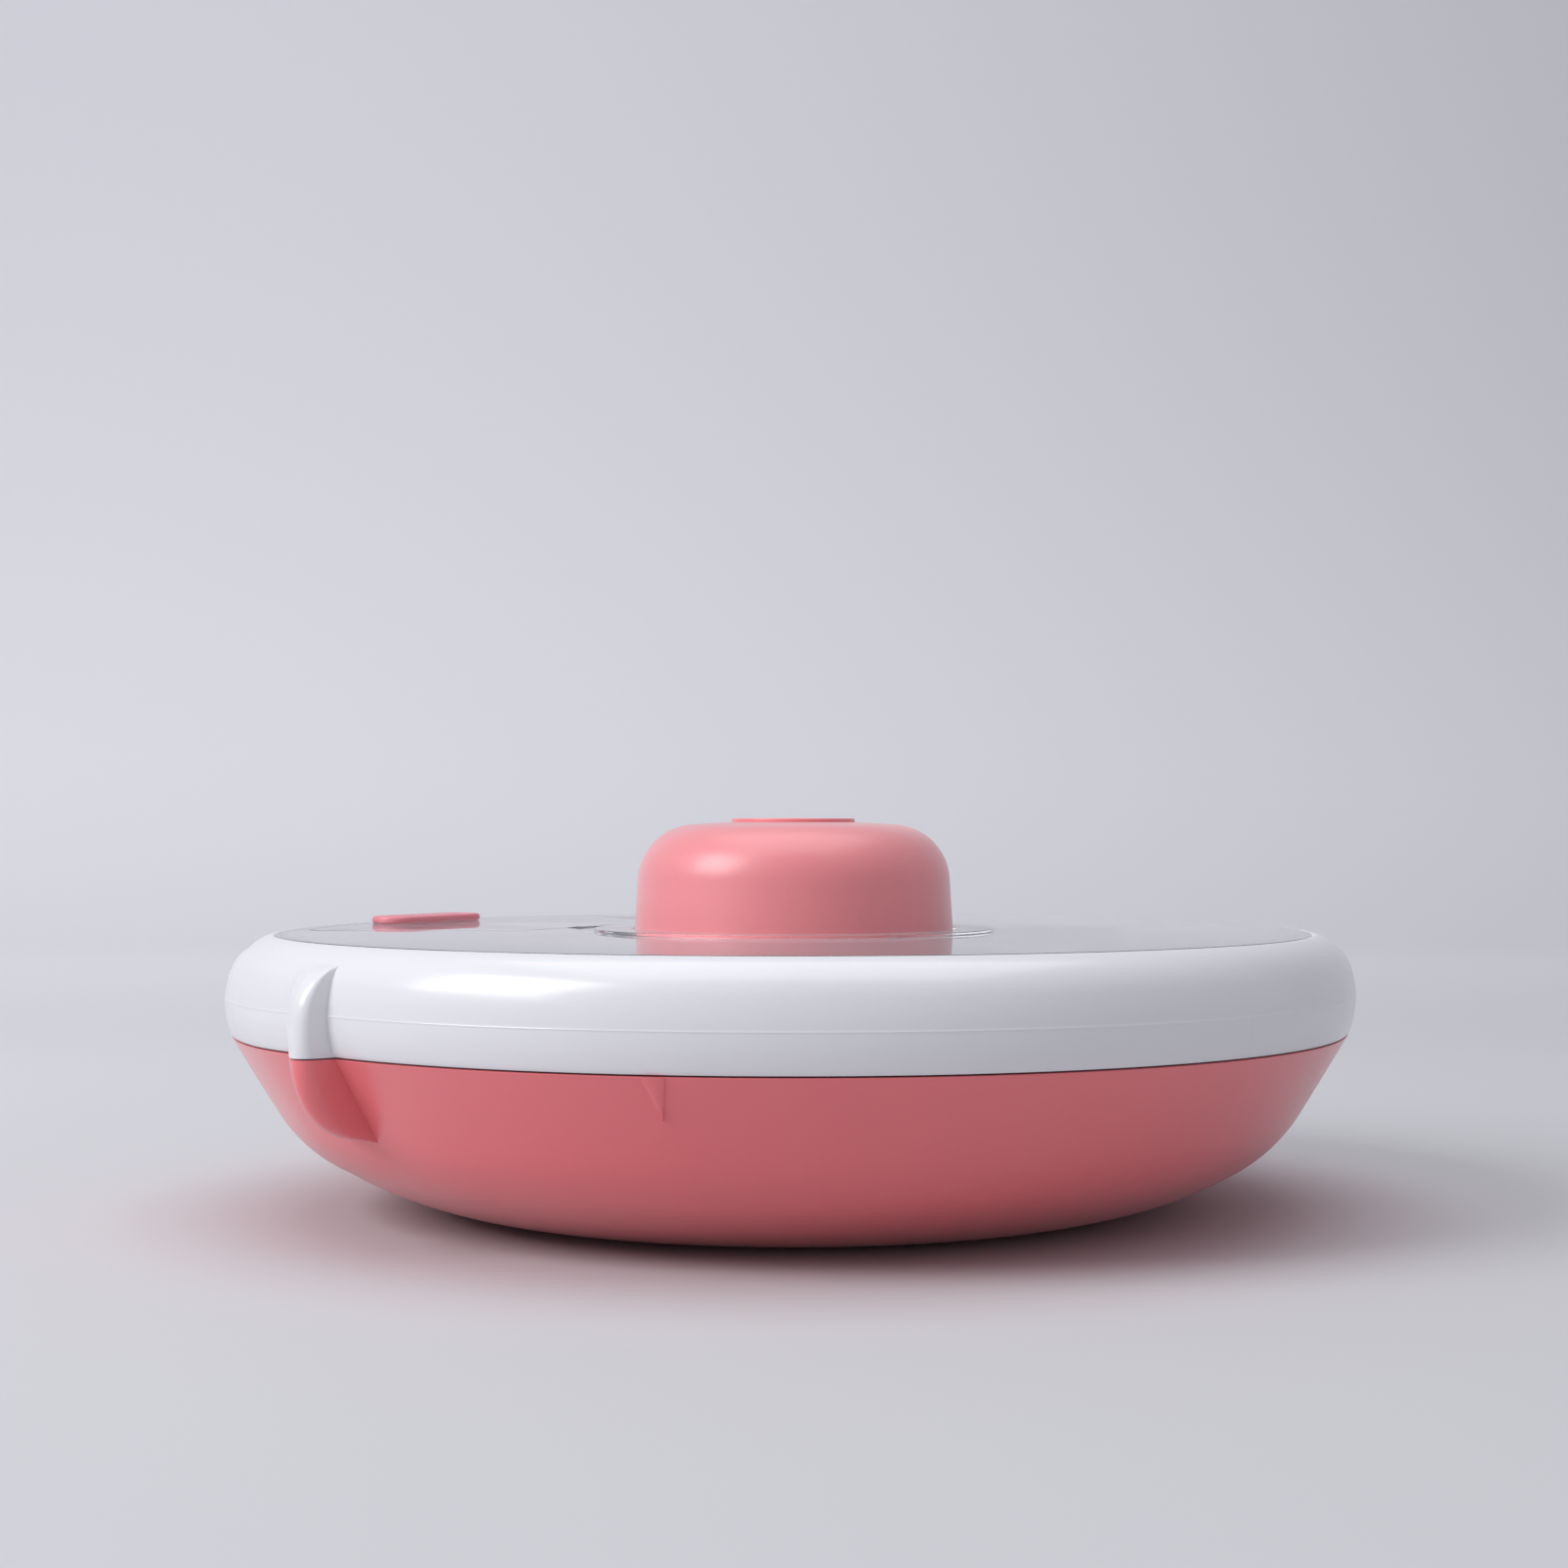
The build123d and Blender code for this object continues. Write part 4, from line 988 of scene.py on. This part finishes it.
def wall_height(radius, depth):
    """Height of the bowl's straight wall at a radius, at a depth inside its outer skin."""
    start = bowl_skin(depth)[-1]
    return start[1] + (radius - start[0]) * math.tan(WALL_SLOPE)


def skin_radius(skin, height, straight):
    """Radius of a bowl skin at a height, no larger than the straight part's."""
    for (inner, lower), (outer, upper) in zip(skin, skin[1:]):
        if lower <= height <= upper and upper > lower:
            return min(straight, inner + (outer - inner) * (height - lower) / (upper - lower))
    return straight


def cavity_loops():
    """(loop, height) down one compartment about +X: rounded lip, walls, filleted floor."""
    floor = BOWL_WALL + TRAY_GAP + TRAY_WALL
    skin = bowl_skin(floor, steps=24)
    heights = [TRAY_TOP - CAVITY_LIP * (1 - math.cos(math.pi / 2 * k / 3)) for k in range(4)]
    heights += list(np.linspace(TRAY_TOP - 2.5, floor + FLOOR_FILLET, 16))
    heights += [floor + FLOOR_FILLET * (1 - math.sin(math.pi / 2 * k / 9)) for k in range(1, 10)]
    loops = []
    for height in heights:
        above = max(0.0, height - (TRAY_TOP - CAVITY_LIP))
        flare = CAVITY_LIP - math.sqrt(max(0.0, CAVITY_LIP**2 - above**2))
        below = max(0.0, floor + FLOOR_FILLET - height)
        fillet = FLOOR_FILLET - math.sqrt(max(0.0, FLOOR_FILLET**2 - below**2))
        outer = BASE_RADIUS + 1.0
        if height > floor + 0.01:
            outer = skin_radius(skin, height, TRAY_RADIUS - TRAY_WALL)
        inner = HUB_OUTER + 0.45 * fillet
        corners = (
            CAVITY_CORNER["largest"],
            CAVITY_CORNER["top"] + CAVITY_CORNER["growth"] * (TRAY_TOP - height),
            CAVITY_CORNER["share"] * (outer - inner),
        )
        shape = {
            "inner": inner - flare,
            "outer": outer + flare,
            "half_angle": 180 / COMPARTMENTS,
            "corner": min(corners),
            "side_gap": TRAY_WALL / 2 + fillet - flare,
        }
        loops.append((sector(**shape), height))
    return loops


def make_tray():
    """Round tray: outer wall, hub with a well for the mechanism, and the compartments between them."""
    mesh = bmesh.new()
    depth = BOWL_WALL + TRAY_GAP
    foot = BOWL_WALL + WASHER_SPACE
    outside = [(TRAY_RADIUS, TRAY_TOP), (TRAY_RADIUS, wall_height(TRAY_RADIUS, depth))]
    under = [
        (HUB_INNER, depth),
        (HUB_INNER, WELL_FLOOR[0]),
        (TUBE_RADIUS, WELL_FLOOR[0]),
        (TUBE_RADIUS, foot),
        (TRAY_BORE, foot),
        (TRAY_BORE, WELL_FLOOR[1]),
        (HUB_INNER, WELL_FLOOR[1]),
        (HUB_INNER, TRAY_TOP),
        (HUB_INNER + 0.8, TRAY_TOP),
    ]
    skin = list(reversed(bowl_skin(depth)))
    profile = soften([(TRAY_RADIUS - 0.6, TRAY_TOP)] + outside + [skin[0]], 0.5)[:-1]
    profile += skin + soften([skin[-1]] + under, 0.4)[1:]
    shell = add_turned(mesh, profile)
    tops = []
    for number in range(COMPARTMENTS):
        place = around(DOOR_ANGLE + number * 360 / COMPARTMENTS)
        rings = [add_loop(mesh, loop, height, place) for loop, height in cavity_loops()]
        bridge(mesh, rings)
        fill(mesh, rings[-1])
        tops.append(rings[0])
    fill(mesh, [column[0] for column in shell], [column[-1] for column in shell], *tops)
    make_piece("tray_moulding", mesh, "tray", TRAY_WHITE, ["snack_tray"])


# ---------------------------------------------------------------- button, housing and spring


def symbol_outline():
    """Open ring that ends in an arrowhead."""
    half = SYMBOL_WIDTH / 2
    start, end = SYMBOL_START, SYMBOL_START + SYMBOL_ARC
    outer = arc_points((0, 0), SYMBOL_RADIUS + half, start, end, 40)
    inner = arc_points((0, 0), SYMBOL_RADIUS - half, end, start, 40)
    tip_turn = math.degrees(ARROW_LENGTH / SYMBOL_RADIUS)
    head = [
        polar(SYMBOL_RADIUS - ARROW_HALF_WIDTH, start),
        polar(SYMBOL_RADIUS, start - tip_turn),
        polar(SYMBOL_RADIUS + ARROW_HALF_WIDTH, start),
    ]
    return outer + inner + head


def make_button():
    """Hollow push button: guide keys on its flange, a screw boss inside, the symbol on its crown."""
    low, high = FLANGE
    inner_shoulder = (BUTTON_SHOULDER[0] - BUTTON_WALL, BUTTON_SHOULDER[1])
    inside = [
        (0, SCREW_BOSS["hole_end"]),
        (SCREW_BOSS["hole_radius"], SCREW_BOSS["hole_end"]),
        (SCREW_BOSS["hole_radius"], SCREW_BOSS["foot"]),
        (SCREW_BOSS["radius"], SCREW_BOSS["foot"]),
    ]
    inside += CEILING + arc_to(CEILING[-1], CEILING_HEADING, inner_shoulder, 10)
    skirt = [
        (SKIRT_INNER, low),
        (FLANGE_RADIUS, low),
        (FLANGE_RADIUS, high),
        (BUTTON_RADIUS, high),
        (BUTTON_RADIUS, BOSS_TOP),
    ]
    lean = (BUTTON_SHOULDER[0] - BUTTON_RADIUS, BUTTON_SHOULDER[1] - BOSS_TOP)
    crown = arc_to(BUTTON_SHOULDER, lean, BUTTON_CROWN, 24)
    dome = arc_to(BUTTON_CROWN, heading_at_end(crown), (0, BUTTON_DOME), 12)
    button = to_object("button", turned(soften(inside + skirt + [BUTTON_SHOULDER], 0.3) + crown + dome))
    keys = bmesh.new()
    key = rectangle(FLANGE_RADIUS - 1, KEY_REACH, KEY_WIDTH / 2)
    add_prisms_round(keys, KEY_COUNT, key, low + 0.02, high - 0.02)
    weld(button, keys)
    symbol = bmesh.new()
    add_prism(symbol, symbol_outline(), BUTTON_CROWN[1] - 0.6, SYMBOL_TOP, SYMBOL_EDGE)
    weld(button, symbol)
    make_piece("push_button", button, "button", BUTTON_PINK, ["button_cap"])


def make_spring():
    """Wire coil with a flat turn at each end."""
    mesh = bmesh.new()
    low, high = SPRING_LOW.z + WIRE_RADIUS, SPRING_HIGH.z - WIRE_RADIUS
    up = Vector((0, 0, 1))
    steps, corners = 40 * COIL_TURNS, 10
    rings = []
    for step in range(steps + 1):
        turn = COIL_TURNS * step / steps
        share = min(max((turn - END_TURN) / (COIL_TURNS - 2 * END_TURN), 0.0), 1.0)
        # The end turns close towards the turns beside them.
        ends = min(turn, END_TURN) - END_TURN + max(0.0, turn - COIL_TURNS + END_TURN)
        height = low + (high - low) * share + 0.9 * WIRE_RADIUS * ends / END_TURN
        out = Vector((*polar(1, 360 * turn), 0))
        ring = []
        for corner in range(corners):
            spoke_out, spoke_up = polar(WIRE_RADIUS, 360 * corner / corners)
            ring.append(mesh.verts.new(out * (COIL_RADIUS + spoke_out) + up * (height + spoke_up)))
        rings.append(ring)
    bridge(mesh, rings)
    fill(mesh, rings[0])
    fill(mesh, rings[-1])
    spring = make_piece(
        "return_coil",
        mesh,
        "button",
        SPRING_STEEL,
        ["return_spring"],
        flat_faces=False,
    )
    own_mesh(spring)


def make_housing():
    """Round housing under the button, with key slots up its bore."""
    bottom, top = HOUSING_LOW.z, HOUSING_HIGH.z
    # It starts and ends inside the top face, so that every corner is softened.
    outline = [
        (HOUSING_BORE + 2, top),
        (HOUSING_RADIUS, top),
        (HOUSING_RADIUS, bottom),
        (ROTOR_HOLE, bottom),
        (ROTOR_HOLE, HOUSING_FLOOR),
        (HOUSING_BORE, HOUSING_FLOOR),
        (HOUSING_BORE, top),
        (HOUSING_BORE + 2, top),
    ]
    housing = to_object("housing", turned(soften(outline, 0.4)))
    slots = bmesh.new()
    slot = rectangle(HOUSING_BORE - 1, KEY_REACH + KEY_GAP, KEY_WIDTH / 2 + KEY_GAP)
    add_prisms_round(slots, KEY_COUNT, slot, HOUSING_FLOOR + 0.5, top + 2)
    weld(housing, slots, "DIFFERENCE")
    make_piece("mechanism_case", housing, "lid", WORKS_WHITE, ["mechanism_housing"])


make_bowl()
make_lid()
make_window()
make_door()
make_tab()
make_pin()
make_tray()
make_button()
make_spring()
make_housing()

# ---------------------------------------------------------------- CAD nodes that stay
KEPT_NODES = {
    "thrust_washer": NYLON,
    "rotor_washer": NYLON,
    "lid_seal": SILICONE,
    "tray_crown": TRAY_WHITE,
    "drive_rotor": WORKS_WHITE,
    "ratchet_crown": WORKS_WHITE,
    "plunger": WORKS_WHITE,
    "housing_screws": SCREW_STEEL,
    "cap_screw": SCREW_STEEL,
    "crown_spring": SPRING_STEEL,
    "crown_clip": SPRING_STEEL,
}
for node, material in KEPT_NODES.items():
    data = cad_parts[node].data
    data.materials.clear()
    data.materials.append(material)

# ---------------------------------------------------------------- stage, light and camera, in metres
FLOOR_REACH = 3.0
COVE_START = 0.9
COVE_RADIUS = 0.7
WALL_TOP = 2.6
# Paper shades are (distance back plus height, grey), times a factor from left to right. Both are painted
# light and shade: the floor near the object is painted darker, the backdrop lighter, and the left side
# lighter than the right.
PAPER_TINT = (1.0, 1.0, 1.05)
PAPER_NEAR = -0.2
PAPER_FAR = 2.2
PAPER_SIDE = 0.6
# Painted light: the paper is painted lighter on the left and darker on the right.
PAINTED_LIGHT_LEFT = 1.05
PAINTED_SHADE_RIGHT = 0.86
# Painted shade: the paper is darkest near the object and lighter up the backdrop.
PAPER_PAINTED_SHADES = [(0.0, 0.60), (0.3, 0.65), (0.9, 0.82), (1.4, 0.88), (2.2, 0.85)]
KEY_LIGHT = {"place": (-1.0, -0.48, 0.78), "side": 0.7, "power": 10.2}
OVERHEAD_LIGHT = {"place": (0.0, 0.0, 1.5), "side": 1.5, "power": 9.8}
OBJECT_CENTRE = (0, 0, 0.03)
ROOM_COLOUR = (0.93, 0.94, 1.0)
ROOM_STRENGTH = 0.435
CAMERA_DISTANCE = 0.458
EYE_HEIGHT = 0.065
LENS = 60.9
SHIFT = (-0.00625, 0.025)


def make_stage():
    """Pale floor that curves up into a backdrop."""
    line = [(-FLOOR_REACH, 0.0), (COVE_START, 0.0)]
    line += arc_to((COVE_START, 0.0), (1, 0), (COVE_START + COVE_RADIUS, COVE_RADIUS), 24)
    line.append((COVE_START + COVE_RADIUS, WALL_TOP))
    mesh = bmesh.new()
    rows = [[mesh.verts.new((side * FLOOR_REACH, y, z)) for y, z in line] for side in (-1, 1)]
    bridge(mesh, rows, closed=False)
    sweep = to_object("studio_sweep", mesh, unit=1)
    sweep.data.shade_smooth()
    sweep.data.materials.append(painted_sweep_paper())


def painted_sweep_paper():
    """Pale paper with painted shade and light: darker on the floor near the object, lighter up the
    backdrop so that the sweep looks even under the key light, and lighter on the left than on the right.
    """
    material, tree, shader, place = new_material("painted_sweep_paper")
    axes = tree.nodes.new("ShaderNodeSeparateXYZ")
    tree.links.new(place, axes.inputs["Vector"])
    along = tree.nodes.new("ShaderNodeMath")
    tree.links.new(axes.outputs["Y"], along.inputs[0])
    tree.links.new(axes.outputs["Z"], along.inputs[1])
    share = map_range(tree, along.outputs["Value"], (PAPER_NEAR, PAPER_FAR), (0, 1))
    # Painted shade, darkest on the floor near the object.
    stops = []
    for distance, shade in PAPER_PAINTED_SHADES:
        position = (distance - PAPER_NEAR) / (PAPER_FAR - PAPER_NEAR)
        stops.append((position, [shade * tint for tint in PAPER_TINT]))
    # Painted light across the paper, lighter on the left and darker on the right.
    across = map_range(tree, axes.outputs["X"], (-PAPER_SIDE, PAPER_SIDE), (PAINTED_LIGHT_LEFT, PAINTED_SHADE_RIGHT))
    painted_paper_colour = tree.nodes.new("ShaderNodeVectorMath")
    painted_paper_colour.operation = "SCALE"
    tree.links.new(colour_ramp(tree, share, stops, "EASE"), painted_paper_colour.inputs[0])
    tree.links.new(across, painted_paper_colour.inputs["Scale"])
    tree.links.new(painted_paper_colour.outputs["Vector"], shader.inputs["Base Color"])
    set_inputs(shader, {"Roughness": 0.85, "Specular IOR Level": 0.2})
    return material


def add_softbox(name, place, side, power):
    """Square lamp that faces the object."""
    lamp = bpy.data.lights.new(name, "AREA")
    lamp.size = side
    lamp.energy = power
    light = bpy.data.objects.new(name, lamp)
    light.location = place
    light.rotation_euler = (Vector(OBJECT_CENTRE) - Vector(place)).to_track_quat("-Z", "Y").to_euler()
    bpy.context.scene.collection.objects.link(light)


def make_light():
    """Key light from the left, soft light from above and a pale room."""
    add_softbox("key_softbox", **KEY_LIGHT)
    add_softbox("overhead_softbox", **OVERHEAD_LIGHT)
    world = bpy.data.worlds.new("studio")
    world.use_nodes = True
    room = {"Color": (*ROOM_COLOUR, 1), "Strength": ROOM_STRENGTH}
    set_inputs(world.node_tree.nodes["Background"], room)
    bpy.context.scene.world = world


def make_camera():
    """Level camera in front of the object, just above the lid."""
    camera = bpy.data.objects.new("camera", bpy.data.cameras.new("camera"))
    camera.location = (0, -CAMERA_DISTANCE, EYE_HEIGHT)
    camera.rotation_euler = (math.pi / 2, 0, 0)
    camera.data.lens = LENS
    camera.data.shift_x, camera.data.shift_y = SHIFT
    camera.data.clip_start = 0.01
    bpy.context.scene.collection.objects.link(camera)
    bpy.context.scene.camera = camera


make_stage()
make_light()
make_camera()
bpy.context.scene.view_settings.view_transform = "Standard"
